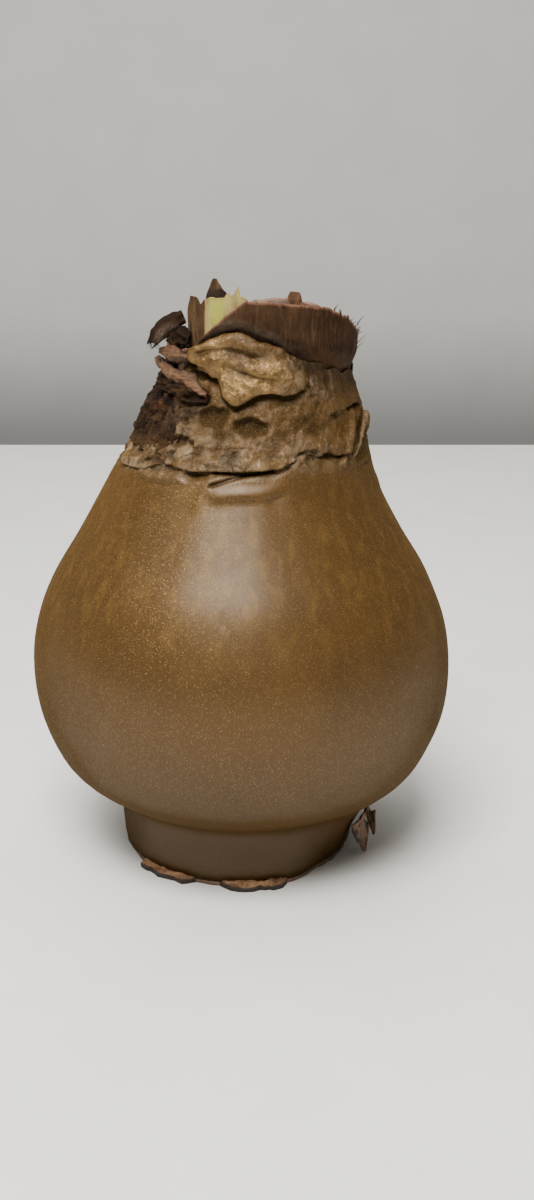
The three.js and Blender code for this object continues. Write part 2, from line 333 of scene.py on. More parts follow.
# blotches of two sizes
def blotchGroup():
    group, w, given, out = makeGroup(
        "blotches",
        [("Vector", "NodeSocketVector", None), ("Size", "NodeSocketFloat", 60.0)],
        [("Wide", "NodeSocketFloat"), ("Small", "NodeSocketFloat")])
    w.tree.links.new(w.noise(given["Vector"], given["Size"], 3, 0.55, 0.4), out.inputs["Wide"])
    w.tree.links.new(w.noise(given["Vector"], w.math("MULTIPLY", given["Size"], 6.3), 4, 0.6),
                     out.inputs["Small"])
    return group


goldFlakes = goldFlakeGroup()
plantFibres = fibreGroup()
blotches = blotchGroup()

# crease, hollow and low are painted shade colours; raised is painted light on the crests of the neck;
# dustAndSheen is pale dust with painted glints; hollow also colours dark dirt specks
waxLook = dict(
    bronze=(0.067, 0.0300, 0.0040, 1), deep=(0.044, 0.0198, 0.0026, 1), warm=(0.110, 0.056, 0.0100, 1),
    flake=(0.50, 0.37, 0.17, 1), crease=(0.014, 0.008, 0.0045, 1), film=(0.030, 0.0155, 0.008, 1),
    raised=(0.250, 0.145, 0.044, 1), hollow=(0.030, 0.0150, 0.0040, 1), low=(0.040, 0.0195, 0.0048, 1),
    dustAndSheen=(0.235, 0.160, 0.094, 1), tissue=(0.016, 0.008, 0.004, 1), tissuePale=(0.048, 0.026, 0.0115, 1),
)


def bronzeWax(name="bronzeWax"):
    s = waxLook
    material, w, place = newMaterial(name)
    patches = useGroup(w, blotches, {"Vector": place, "Size": 34.0})
    base = w.mix(w.range(patches["Wide"], 0.30, 0.62, 0.2, 1.0), s["deep"], s["bronze"])
    base = w.mix(w.range(patches["Small"], 0.55, 0.8, 0, 0.25), base, s["warm"])
    streaks = w.noise(w.stretched(place, 420, 420, 26), 1.0, 3, 0.5, 0.4)
    # painted shade: the wax is darker towards the bottom of the belly
    base = w.mix(w.math("MULTIPLY", w.mask("low"), 0.8), base, s["low"])
    shoulder = w.mask("shoulder")
    base = w.mix(w.math("MULTIPLY", shoulder, w.range(streaks, 0.5, 0.72, 0, 0.75)), base, s["warm"])
    # painted light: a lighter gold on the crests of the neck's relief
    base = w.mix(w.math("MULTIPLY", w.mask("raised"), w.range(patches["Small"], 0.34, 0.66, 0.15, 0.85)),
                 base, s["raised"])
    # pale dust on the rough neck, partly painted glints
    base = w.mix(w.math("MULTIPLY", w.mask("dustAndSheen"), w.range(patches["Small"], 0.3, 0.6, 0.25, 0.85)),
                 base, s["dustAndSheen"])
    # painted shade in the hollows and dents of the neck
    base = w.mix(w.mask("hollow"), base, s["hollow"])
    # dirt and dark skin under the thin wax of the neck
    specks = w.noise(place, 310.0, 4, 0.65, 0.8)
    grime = w.math("MULTIPLY", w.mask("rough"), w.range(specks, 0.52, 0.66, 0, 0.7))
    base = w.mix(grime, base, s["hollow"])
    tissue = w.mix(w.range(patches["Small"], 0.42, 0.68), s["tissue"], s["tissuePale"])
    base = w.mix(w.math("MULTIPLY", w.mask("tissue"), w.range(patches["Wide"], 0.2, 0.5, 0.7, 1.0)), base,
                 tissue)
    base = w.mix(w.mask("film"), base, s["film"])
    # painted shade in creases, under lips and in crevices
    base = w.mix(w.mask("crease"), base, s["crease"])
    geometry = w.node("ShaderNodeNewGeometry").outputs["Normal"]
    skin = w.noise(place, 900.0, 3, 0.6)
    lumps = w.noise(place, 150.0, 2, 0.5)
    height = w.math("ADD", w.math("MULTIPLY", skin, 0.25), lumps)
    normal = w.bump(height, 0.10, 0.0006, geometry)
    # crinkles where the wax lies on torn skin
    crinkle = w.math("MULTIPLY", w.noise(place, 750.0, 4, 0.7, 0.6), w.mask("rough"))
    normal = w.bump(crinkle, 0.9, 0.0011, normal)
    flakes = useGroup(w, goldFlakes, {"Vector": place, "Flake size": 5200.0, "Share": 0.13,
                                      "Tilt": 0.6, "Normal": normal})
    finest = useGroup(w, goldFlakes, {"Vector": place, "Flake size": 12000.0, "Share": 0.4,
                                      "Tilt": 0.4, "Normal": flakes["Normal"]})
    shown = w.math("MAXIMUM", flakes["Flake"], w.math("MULTIPLY", finest["Flake"], 0.6))
    hidden = w.math("MAXIMUM", w.mask("film"), w.mask("tissue"))
    shown = w.math("MULTIPLY", shown, w.range(hidden, 0, 1, 1, 0.15))
    # painted shade: fewer gold flakes show towards the bottom
    shown = w.math("MULTIPLY", shown, w.range(w.mask("low"), 0.6, 1, 1, 0.2))
    base = w.mix(w.math("MULTIPLY", shown, 0.42), base, s["flake"])
    # the surface is hazy: it shines where it faces the eye and goes dull towards the edge
    facing = w.node("ShaderNodeLayerWeight", {"Blend": 0.5}).outputs["Facing"]
    dull = w.range(facing, 0.35, 0.9, 0.0, 0.4)
    rough = w.math("ADD", w.range(w.noise(place, 120.0, 3), 0.3, 0.7, 0.47, 0.57), dull, clamp=True)
    shine = w.math("MULTIPLY", w.range(facing, 0.2, 0.7, 0.44, 0.0), w.range(hidden, 0, 1, 1, 0.4))
    shine = w.math("MULTIPLY", shine, w.range(w.mask("hollow"), 0, 0.8, 1, 0.05))
    shine = w.math("ADD", shine, w.math("MULTIPLY", w.mask("raised"), 0.02), clamp=True)
    rough = w.math("ADD", rough, w.range(w.mask("hollow"), 0, 0.8, 0, 0.4), clamp=True)
    rough = w.math("SUBTRACT", rough, w.math("MULTIPLY", w.mask("raised"), 0.13), clamp=True)
    finishMaterial(w, {"Base Color": base, "Roughness": rough,
                       "Metallic": w.math("ADD", w.math("MULTIPLY", shown, 0.4),
                                          w.range(w.mask("raised"), 0, 1, 0.25, 0.65), clamp=True),
                       "IOR": 1.40, "Specular IOR Level": 0.30, "Specular Tint": (1.0, 0.80, 0.52, 1),
                       "Coat Weight": shine, "Coat Roughness": 0.40, "Coat Tint": (1.0, 0.97, 0.92, 1),
                       "Normal": finest["Normal"], "Coat Normal": normal})
    return material


drySkinLook = dict(dark=(0.021, 0.0105, 0.0055, 1), mid=(0.064, 0.033, 0.0165, 1),
                   pale=(0.125, 0.074, 0.042, 1), edge=(0.20, 0.10, 0.062, 1), grey=(0.115, 0.088, 0.066, 1))


def drySkinPaper():
    s = drySkinLook
    material, w, place = newMaterial("drySkinPaper")
    fibres = useGroup(w, plantFibres, {"Vector": place, "Across": 1700.0, "Along": 260.0})
    patches = useGroup(w, blotches, {"Vector": place, "Size": 90.0})
    base = w.mix(w.range(patches["Wide"], 0.35, 0.7), s["dark"], s["mid"])
    base = w.mix(w.range(fibres["Fine"], 0.52, 0.75, 0, 0.35), base, s["pale"])
    base = w.mix(w.range(fibres["Coarse"], 0.25, 0.45, 0.45, 0), base, s["dark"])
    base = w.mix(w.range(patches["Small"], 0.52, 0.72, 0, 0.45), base, s["mid"])
    # grey dust, partly painted sheen on rolls and outer sides
    base = w.mix(w.math("MULTIPLY", w.mask("dustAndSheen"), w.range(patches["Small"], 0.3, 0.7, 0.4, 0.9)), base,
                 s["grey"])
    base = w.mix(w.mask("torn"), base, s["edge"])
    # painted shade in creases and along the edge where the skin leaves the wax
    base = w.mix(w.mask("crease"), base, (0.012, 0.007, 0.005, 1))
    height = w.math("ADD", fibres["Fine"], w.math("MULTIPLY", patches["Small"], 0.7))
    finishMaterial(w, {"Base Color": base, "Roughness": w.range(fibres["Coarse"], 0.3, 0.7, 0.62, 0.86),
                       "Normal": w.bump(height, 0.75, 0.0006), "Specular IOR Level": 0.05})
    return material


def scaleTissue(name, colours, fibreAcross=1300.0, roughness=0.6, wet=0.0):
    # colours: base, second, fibre, edge
    base0, second, fibre, edge = colours
    material, w, place = newMaterial(name)
    fibres = useGroup(w, plantFibres, {"Vector": place, "Across": fibreAcross, "Along": 90.0})
    patches = useGroup(w, blotches, {"Vector": place, "Size": 220.0})
    base = w.mix(w.range(patches["Wide"], 0.4, 0.65), base0, second)
    base = w.mix(w.range(fibres["Fine"], 0.5, 0.75, 0, 0.6), base, fibre)
    base = w.mix(w.mask("side"), base, w.mix(w.range(fibres["Coarse"], 0.35, 0.65), edge, fibre))
    base = w.mix(w.mask("torn"), base, edge)
    # painted shade in the splits of the torn scales, and darker below darkBelow
    base = w.mix(w.mask("crease"), base, (0.014, 0.008, 0.005, 1))
    height = w.math("ADD", fibres["Fine"], patches["Small"])
    finishMaterial(w, {"Base Color": base, "Roughness": w.range(patches["Small"], 0.3, 0.7, roughness - 0.1,
                                                                roughness + 0.12),
                       "Coat Weight": wet, "Coat Roughness": 0.25, "Specular IOR Level": 0.2,
                       "Subsurface Weight": 0.08, "Subsurface Scale": 0.001,
                       "Normal": w.bump(height, 0.45, 0.0004)})
    return material


def blackenedSkin():
    material, w, place = newMaterial("blackenedSkin")
    patches = useGroup(w, blotches, {"Vector": place, "Size": 170.0})
    fibres = useGroup(w, plantFibres, {"Vector": place, "Across": 900.0, "Along": 260.0})
    base = w.mix(w.range(patches["Wide"], 0.38, 0.64), (0.009, 0.0045, 0.0028, 1), (0.033, 0.0155, 0.0065, 1))
    base = w.mix(w.range(patches["Small"], 0.54, 0.74, 0, 0.7), base, (0.075, 0.040, 0.017, 1))
    base = w.mix(w.math("MULTIPLY", w.mask("red"), 0.9), base, (0.42, 0.075, 0.022, 1))
    base = w.mix(w.mask("waxed"), base, (0.060, 0.032, 0.012, 1))
    # painted shade in the valleys of the folds
    base = w.mix(w.mask("crease"), base, (0.007, 0.004, 0.003, 1))
    height = w.math("ADD", fibres["Fine"], w.math("MULTIPLY", patches["Small"], 1.5))
    finishMaterial(w, {"Base Color": base, "Roughness": w.range(patches["Small"], 0.3, 0.7, 0.60, 0.88),
                       "Specular IOR Level": 0.08,
                       "Normal": w.bump(height, 0.8, 0.0007)})
    return material


def rootBark():
    material, w, place = newMaterial("rootBark")
    patches = useGroup(w, blotches, {"Vector": place, "Size": 260.0})
    base = w.mix(w.range(patches["Wide"], 0.38, 0.62), (0.13, 0.062, 0.026, 1), (0.33, 0.175, 0.078, 1))
    base = w.mix(w.range(patches["Small"], 0.5, 0.75, 0, 0.7), base, (0.45, 0.28, 0.15, 1))
    # painted reflection: an orange-red glow on the flakes just below the wax edge
    base = w.mix(w.mask("reflectedGlow"), base, (0.16, 0.050, 0.012, 1))
    # painted shade along the flakes' edges and in their creases, and over the strips under the right of the
    # belly
    base = w.mix(w.mask("crease"), base, (0.022, 0.011, 0.006, 1))
    finishMaterial(w, {"Base Color": base, "Roughness": w.range(patches["Small"], 0.3, 0.7, 0.55, 0.8),
                       "Normal": w.bump(patches["Small"], 0.5, 0.0005)})
    return material


def cutBulb():  # inside of the neck, cut across; corky underneath
    material, w, place = newMaterial("cutBulb")
    patches = useGroup(w, blotches, {"Vector": place, "Size": 150.0})
    base = w.mix(w.range(patches["Wide"], 0.38, 0.64), (0.20, 0.115, 0.062, 1), (0.30, 0.195, 0.105, 1))
    base = w.mix(w.range(patches["Small"], 0.5, 0.7, 0, 0.7), base, (0.15, 0.066, 0.040, 1))
    base = w.mix(w.mask("dry"), base, (0.095, 0.048, 0.028, 1))
    base = w.mix(w.mask("pink"), base, (0.135, 0.070, 0.044, 1))
    # painted shade in the gaps between the cut scales
    base = w.mix(w.mask("crease"), base, (0.045, 0.022, 0.014, 1))
    cork = w.mix(w.range(patches["Small"], 0.35, 0.7), (0.075, 0.042, 0.022, 1), (0.19, 0.11, 0.055, 1))
    base = w.mix(w.mask("cork"), base, cork)
    finishMaterial(w, {"Base Color": base, "Roughness": w.range(patches["Small"], 0.3, 0.7, 0.5, 0.75),
                       "Normal": w.bump(patches["Small"], 0.4, 0.0004),
                       "Subsurface Weight": 0.06, "Subsurface Scale": 0.001})
    return material


waxMaterial = bronzeWax()
skinMaterial = drySkinPaper()
blackMaterial = blackenedSkin()
barkMaterial = rootBark()
bulbMaterial = cutBulb()
freshMaterial = scaleTissue("freshScale", ((0.27, 0.27, 0.040, 1), (0.33, 0.32, 0.060, 1),
                                           (0.36, 0.31, 0.095, 1), (0.24, 0.150, 0.066, 1)), 1100.0, 0.5, 0.1)
brownMaterial = scaleTissue("brownScale", ((0.060, 0.030, 0.0115, 1), (0.036, 0.0175, 0.0075, 1),
                                           (0.150, 0.090, 0.037, 1), (0.030, 0.015, 0.008, 1)), 1300.0, 0.8)
pinkMaterial = scaleTissue("pinkScale", ((0.125, 0.060, 0.029, 1), (0.080, 0.037, 0.0175, 1),
                                         (0.170, 0.098, 0.050, 1), (0.060, 0.029, 0.014, 1)), 900.0, 0.65,
                           0.02)
print("materials ready")

# the wax
coat = dict(
    widest=48.45, leastInside=20.2,
    columns=470,
    bodyRows=62, neckRows=124, insideRows=12,
    bottom=1.15, neckFoot=88,
    # upper edge (angle, height)
    top=[(-180, 115), (-130, 110), (-100, 99.5), (-72, 98.6), (-56, 99), (-50, 106), (-44, 115.2), (-41, 117),
         (-36, 117.9), (-27, 119.3), (-22, 120.2), (-16, 120.6), (-11, 120.7), (-5, 120), (0, 119.2),
         (6, 118.6), (12, 117.6), (16, 116.6), (23, 115.9), (29, 114.8), (36, 114.1), (47, 113.4),
         (60, 112), (80, 112), (100, 113), (140, 114.5), (180, 115)],
)

# Lips where the wax drapes over itself. line: lower edge (angle, height); height: how far it stands out;
# reach: how far up it fades; droop: how far the lip hangs down; under: hollow below it
folds = [
    dict(line=[(-46, 115.8), (-38, 115.3), (-33, 114.8), (-28, 113.7), (-24, 112.4), (-21, 112.2),
               (-19, 110.8), (-17, 109), (-13, 107.4), (-9, 107), (-4, 107.9), (1, 109.1), (7, 109.4),
               (13, 109), (18, 109.2), (23, 109.8), (30, 111.5), (38, 113)],
         span=(-41, 25), fade=5, height=1.55, reach=8.5, droop=0.9, under=0.9, lip=0.35),
    dict(line=[(-40, 116.4), (-26, 117.6), (-18, 118), (-10, 117.7), (-2, 116.6), (8, 115.4)],
         span=(-36, 4), fade=5, height=0.75, reach=3.6, droop=0.3, under=0.45, lip=0.7),
    dict(line=[(-22, 115.6), (-14, 114.2), (-8, 113.3), (-2, 112.8), (8, 112.2), (16, 112.6)],
         span=(-20, 12), fade=5, height=0.65, reach=3.6, droop=0.25, under=0.55, lip=0.8),
    dict(line=[(-90, 93.6), (-74, 93.2), (-60, 92.9), (-49, 93.2), (-42, 94.3), (-33, 94.4), (-27, 93.9),
               (-17, 93.8), (-5, 93.8), (6, 94), (11, 94), (17, 95), (22, 96), (25, 97.4), (33, 96.4),
               (39, 96.8), (51, 95.6), (60, 95)],
         span=(-80, 52), fade=6, height=0.85, reach=5.2, droop=0.55, under=0.5, lip=0.35),
    dict(line=[(-70, 96.6), (-49, 96.6), (-43, 98), (-38, 98.9), (-31, 98.6), (-22, 98), (-14, 98.2),
               (-4, 98.2), (6, 98.2), (15, 97.2)],
         span=(-62, 10), fade=6, height=0.45, reach=2.2, droop=0.25, under=0.35, lip=0.4),
    dict(line=[(-16, 89.6), (-13, 88.7), (-6, 88.1), (1, 88.2), (9, 88.5), (14, 88.9), (22, 90.2)],
         span=(-12, 17), fade=5, height=0.35, reach=3.2, droop=0.1, under=0.30, lip=0.8),
    dict(line=[(-62, 93.8), (-50, 91.6), (-40, 90.6), (-30, 91), (-20, 91.4)],
         span=(-56, -24), fade=5, height=0.35, reach=2.4, droop=0.15, under=0.25, lip=0.6),
    dict(line=[(36, 104.4), (48, 105), (57, 105.2), (68, 105.4), (80, 105)],
         span=(42, 78), fade=4, height=0.55, reach=3.4, droop=0.35, under=0.75, lip=0.4),
    # the back of the neck, in the same hand
    dict(line=[(84, 96), (100, 94.6), (120, 95.6), (140, 94), (165, 95.4), (180, 94.6)],
         span=(92, 176), fade=8, height=0.75, reach=4.6, droop=0.4, under=0.4, lip=0.5),
    dict(line=[(-180, 94.6), (-160, 95.8), (-135, 94.2), (-115, 95.6), (-96, 94.4)],
         span=(-176, -92), fade=8, height=0.75, reach=4.6, droop=0.4, under=0.4, lip=0.5),
    dict(line=[(96, 106), (112, 108), (130, 105.6), (150, 107.6), (170, 106)],
         span=(104, 164), fade=9, height=0.8, reach=5, droop=0.5, under=0.5, lip=0.5),
    dict(line=[(-178, 104), (-160, 102), (-140, 104.4), (-120, 102)],
         span=(-170, -128), fade=9, height=0.7, reach=4, droop=0.4, under=0.4, lip=0.5),
]
# Dents pressed into the wax (angle, height, half width in degrees, half height, depth)
pits = [(-21, 104, 9.5, 2.9, 1.1), (0, 101.9, 12, 2.2, 1.2), (-22, 92.6, 6.5, 1.5, 0.9),
        (-36, 98.4, 6, 1, 0.7), (-45, 95.4, 4, 0.9, 0.6), (-60, 95.2, 5, 0.9, 0.5),
        (33, 100.8, 16, 4.4, 0.12), (45, 95.4, 10, 0.8, 0.5), (112, 101, 10, 2.2, 0.8),
        (150, 99.6, 12, 2, 0.8), (-150, 99, 11, 1.8, 0.8), (-118, 98, 8, 1.3, 0.6),
        (-34, 112.2, 8, 1.5, 0.9)]
# Dark crevices (line, half width, depth)
crevices = [([(-12, 93.4), (-5, 93), (0, 93.1), (6, 93.4), (12, 93.8)], 0.42, 1.5),
            ([(-12, 90.8), (-6, 91.8), (0, 92.6), (6, 93.2)], 0.38, 0.9),
            ([(-50, 94.6), (-43, 94.9), (-38, 94.6)], 0.35, 0.7),
            ([(-44, 98.6), (-38, 99.6), (-31, 99.3), (-28, 98.5)], 0.4, 0.8),
            ([(22, 96.6), (27, 97.6), (33, 96.8)], 0.3, 0.6),
            ([(-30, 95.8), (-25, 96.6), (-21, 96.2)], 0.28, 0.5),
            ([(58, 104.4), (66, 105), (78, 104.6)], 0.4, 0.9),
            ([(-47, 113.7), (-39, 114.2), (-32, 113.1), (-27, 112)], 0.75, 1.1),
            ([(56, 95.2), (62, 96.9), (68, 99.2), (74, 101.2)], 0.5, 0.6),
            ([(-4, 66.6), (-1.6, 64.2), (-0.4, 61.6)], 0.22, 0.28)]
ridges = [([(62, 105), (60, 102), (57, 99), (53, 96.4), (49, 94)], 0.8, 0.75),
          ([(46, 112), (50, 108), (51, 105)], 0.7, 0.3), ([(-13, 91.6), (-15, 90), (-16, 87)], 0.8, 0.35)]


tornArea = dict(line=[(-100, 101), (-80, 101.5), (-60, 104.5), (-46, 105.5), (-36, 105.8), (-29, 107.2)],
                width=[(-100, 2), (-60, 6), (-44, 4.5), (-36, 3.2), (-28, 2)])


def waxRelief(angle, z):
    p = flatPoint(angle, z)
    wobble = 0.55 * cloud(p, 3.2, 3, 2) + 0.2 * cloud(p, 1.1, 5)
    out = np.zeros(np.broadcast(angle, z).shape)
    down = np.zeros_like(out)
    # crease: painted shade under the lips, in the pits, crevices and holes, and in the folds of the tissue
    crease = np.zeros_like(out)
    dustAndSheen = np.zeros_like(out)
    dented = np.zeros_like(out)
    broken = 0.12 + 0.88 * smooth(cloud(p, 4.5, 29), -0.25, 0.35)  # the hollow under a lip comes and goes
    for f in folds:
        d = z - curveThrough(f["line"])(angle) - wobble * 0.45
        ends = between(angle, *f["span"], f["fade"])
        stand = smooth(d, -f["lip"], f["lip"]) * (1 - smooth(d, 0.25 * f["reach"], f["reach"]))
        out += ends * f["height"] * stand
        loosely = broken if f["height"] < 1.2 else 1
        out -= ends * f["under"] * loosely * hump(d, -0.9, 0.9)
        down += ends * f["droop"] * hump(d, 0.35, 0.75)
        crease = np.maximum(crease, ends * min(f["under"] * 0.8, 0.7) * loosely * hump(d, -0.45, 0.45))
    for a, h, halfA, halfZ, depth in pits:
        away = np.hypot((angle - a) / halfA, (z - h) / halfZ) + 0.30 * cloud(p, 2.6, 9, 2)
        upper = smooth((z - h) / halfZ, -0.6, 0.6)  # steep under the upper rim, running out below
        out -= 1.2 * depth * (1 - smooth(away, 0.35 + 0.25 * upper, 1.15 - 0.15 * upper))
        dented = np.maximum(dented, 0.75 * min(depth, 1) * (1 - smooth(away, 0.6, 1.1)))
        crease = np.maximum(crease, 0.4 * depth * (0.35 + 0.65 * upper) * (1 - smooth(away, 0.45, 1.0)))
    for line, width, depth in crevices:
        away = distanceToLine(angle, z, line) + 0.25 * wobble
        out -= depth * np.exp(-(away / width) ** 2)
        crease = np.maximum(crease, min(depth, 1.0) * np.exp(-(away / (width * 0.9)) ** 2))
    for line, width, height in ridges:
        out += height * np.exp(-(distanceToLine(angle, z, line) / width) ** 2)
    # crumpled skin shows through the wax around the neck, most at its foot and on the left
    band = hump(z, lineThrough([(-90, 95), (-40, 96), (15, 96.4), (60, 96), (180, 95.5)])(angle), 2.6)
    band = np.clip(band * (0.45 + 0.55 * (1 - smooth(angle, 18, 50))), 0, 1)
    left = (1 - smooth(angle, -38, -18)) * smooth(angle, -125, -100)
    neck = smooth(z, 90, 96)
    knobbly = between(angle, 12, 40, 5) * between(z, 107.5, 114.5, 1.5)
    rough = np.clip(band + 0.75 * left * neck * (1 - smooth(z, 100, 108)) + 0.6 * knobbly, 0, 1)
    out += rough * (0.55 * (creased(p, 3.4, 21) - 0.45) + 0.38 * (creased(p, 1.5, 25) - 0.4)
                    + 0.2 * cloud(p, 0.9, 23, 2))
    holes = rough * smooth(cloud(p, 1.5, 27), 0.42, 0.75)
    out -= 0.6 * holes
    crease = np.maximum(crease, 0.85 * holes)
    out += neck * (0.30 * cloud(p, 5.5, 31, 2) + 0.34 * (creased(p, 3.1, 35) - 0.4)
                   + 0.15 * cloud(p, 1.2, 33, 2))
    crease = np.maximum(crease, rough * smooth(-creased(p, 3.4, 21), -0.1, 0.35) * 0.7)
    # pale dust with painted glints on the crumpled skin
    dustAndSheen = np.maximum(dustAndSheen, rough * smooth(cloud(p, 1.5, 41, 3), -0.5, 0.4))
    # dark tissue that the wax hardly covers, left of the fold
    torn = distanceToLine(angle, z, tornArea["line"]) - lineThrough(tornArea["width"])(angle)
    tissue = 1 - smooth(torn + 0.5 * cloud(p, 2.4, 43, 2), -0.8, 0.5)
    folded = creased(p, 3.0, 45)
    out += tissue * (1.1 * (folded - 0.35) + 0.35 * (creased(p, 1.3, 47) - 0.4))
    crease = np.maximum(crease, tissue * smooth(-folded, -0.2, 0.25))
    # raised: painted light on the crests; hollow: painted shade in the hollows and dents
    raised = neck * smooth(out + 0.35 * cloud(p, 1.6, 49, 2), 0.35, 1.5) * (1 - 0.8 * smooth(angle, 8, 22))
    hollow = neck * np.maximum(smooth(0.25 * cloud(p, 1.5, 50) - out, -0.1, 0.55), dented)
    dustAndSheen = dustAndSheen * (1 - dented)
    rough = np.clip(rough + 0.45 * neck, 0, 1)
    return out, down, dict(crease=crease, dustAndSheen=dustAndSheen, tissue=tissue, raised=raised, hollow=hollow * 0.85,
                           rough=rough)


def bodyRelief(angle, z):  # slow swells, grown ribs on the shoulder, a few dents
    wide = onBulb(angle, z, waxRadius(z))
    ribs = between(z, 62, 92, 8)
    shape = 0.28 * cloud(wide, 24, 51) + 0.10 * cloud(wide, 9, 53)
    grow = np.stack([np.sin(np.radians(angle)) * 22, np.cos(np.radians(angle)) * 22, z * 0.12], axis=-1)
    shape += ribs * (0.16 * cloud(grow, 4.2, 55) + 0.07 * cloud(grow, 1.7, 57))
    shape += 0.35 * hump(z, 87.5, 1.6) * hump(angle, 84, 7)  # small bump on the right shoulder
    foot = between(z, 1, 13, 2)
    shape += foot * (0.55 * cloud(wide, 11, 61) + 0.16 * cloud(wide, 4, 63))
    return shape * smooth(z, 0.5, 4) * (1 - smooth(z, 92, 100))


footCut = dict(span=(34, 96), fade=14, wax=2.4, bulb=2.3, heights=(2, 11))
neckDraw = dict(span=(52, 112), fade=10, height=109.5, half=4.2, outside=1.25, inside=1.1, least=20.75)


def cutShare(angle):  # the foot is cut away under the right side
    return between(angle, *footCut["span"], footCut["fade"])


def drawnIn(angle, z):  # the neck draws in above the loose flap
    return between(angle, *neckDraw["span"], neckDraw["fade"]) * hump(z, neckDraw["height"], neckDraw["half"])


def buildCoat():
    s = coat
    share = np.arange(s["columns"]) / s["columns"]  # columns stand closest at the front
    angle = np.interp(share, [0, 0.11, 0.89, 1], [-180, -115, 115, 180])[None, :]
    onRight = smooth(angle, 5, 25)
    edgeBumps = (0.35 + 0.45 * onRight) * cloud(flatPoint(angle, 0 * angle), 2.5, 71, 3)
    topEdge = curveThrough(s["top"])(angle) + edgeBumps
    low = np.linspace(0, 1, s["bodyRows"], endpoint=False)[:, None]
    lowZ = s["bottom"] + (s["neckFoot"] - s["bottom"]) * (0.5 * low + 0.5 * low**0.8) + 0 * angle
    high = np.linspace(0, 1, s["neckRows"])[:, None]
    highZ = s["neckFoot"] + (topEdge - s["neckFoot"]) * high
    z = np.concatenate([lowZ, highZ])
    angle = angle + 0 * z
    out, down, masks = waxRelief(angle, z)
    swell = bodyRelief(angle, z)
    below = topEdge - z  # distance under the upper edge
    thin = smooth(angle, 8, 26) * (1 - smooth(angle, 120, 160))  # here the wax ends in a thin film
    roll = 1 - smooth(below, 0, 1.1)
    radius = footLift(angle, z) + out + swell
    radius -= footCut["wax"] * cutShare(angle) * (1 - smooth(z, *footCut["heights"]))
    radius -= roll * 0.55 * (1 - thin) * (1 - below.clip(0, 1.1) / 1.1)
    radius -= thin * 1.05 * (1 - smooth(below, 0, 5.5)) ** 1.3
    radius = np.maximum(radius - neckDraw["outside"] * drawnIn(angle, z),
                        np.minimum(radius, neckDraw["least"]))
    radius = np.minimum(radius, s["widest"])
    outer = onBulb(angle, z - down * (1 - roll), radius)
    reachDown = 4.5 + 3.0 * between(angle, 26, 80, 10) + 2.6 * cloud(flatPoint(angle, z), 2.4, 73, 3)
    film = thin * (1 - smooth(below, 1.0, np.maximum(reachDown, 1.6)))
    # low: painted shade, darker towards the bottom of the belly
    masks.update(film=film * 0.9, shoulder=between(z, 60, 92, 10), low=1 - smooth(z, 12, 55))
    insideT = np.linspace(0, 1, s["insideRows"])[:, None]
    insideZ = (topEdge - 0.5) + (s["bottom"] + 0.3 - topEdge + 0.5) * insideT
    wall = waxWall(insideZ) + 1.1 * between(insideZ, 98.5, 112.5, 2)  # room for the dents
    drawn = neckDraw["inside"] * drawnIn(angle[:1], insideZ)
    insideRadius = footLift(angle[:1], insideZ) - wall - drawn
    insideRadius = insideRadius - footCut["wax"] * (1 - smooth(insideZ, *footCut["heights"]))
    inside = onBulb(angle[:1] + 0 * insideZ, insideZ, np.maximum(insideRadius, s["leastInside"]))
    points = np.concatenate([outer, inside])
    rows = len(points)
    masks = {k: np.concatenate([v, np.repeat(v[-1:], s["insideRows"], axis=0)]) for k, v in masks.items()}
    return makePiece("waxCoat", points, ringFaces(rows, s["columns"], True), masks, waxMaterial,
                     ("wax_coat",))


buildCoat()
print("wax coat ready")

# the bulb inside: root plate, neck, cut scales
core = dict(
    columns=288, neck=19.25, notch=17.25, plate=27.9, rim=126.9,
    rimLine=[(-180, 123), (-145, 121), (-125, 117.5), (-60, 117.5), (-48, 119), (-10, 125.8), (-4, 126.9),
             (5, 127.3), (20, 127), (40, 126), (60, 124), (90, 120.5), (120, 121.5), (180, 123)],
    scales=9,  # cut scales seen from above
)


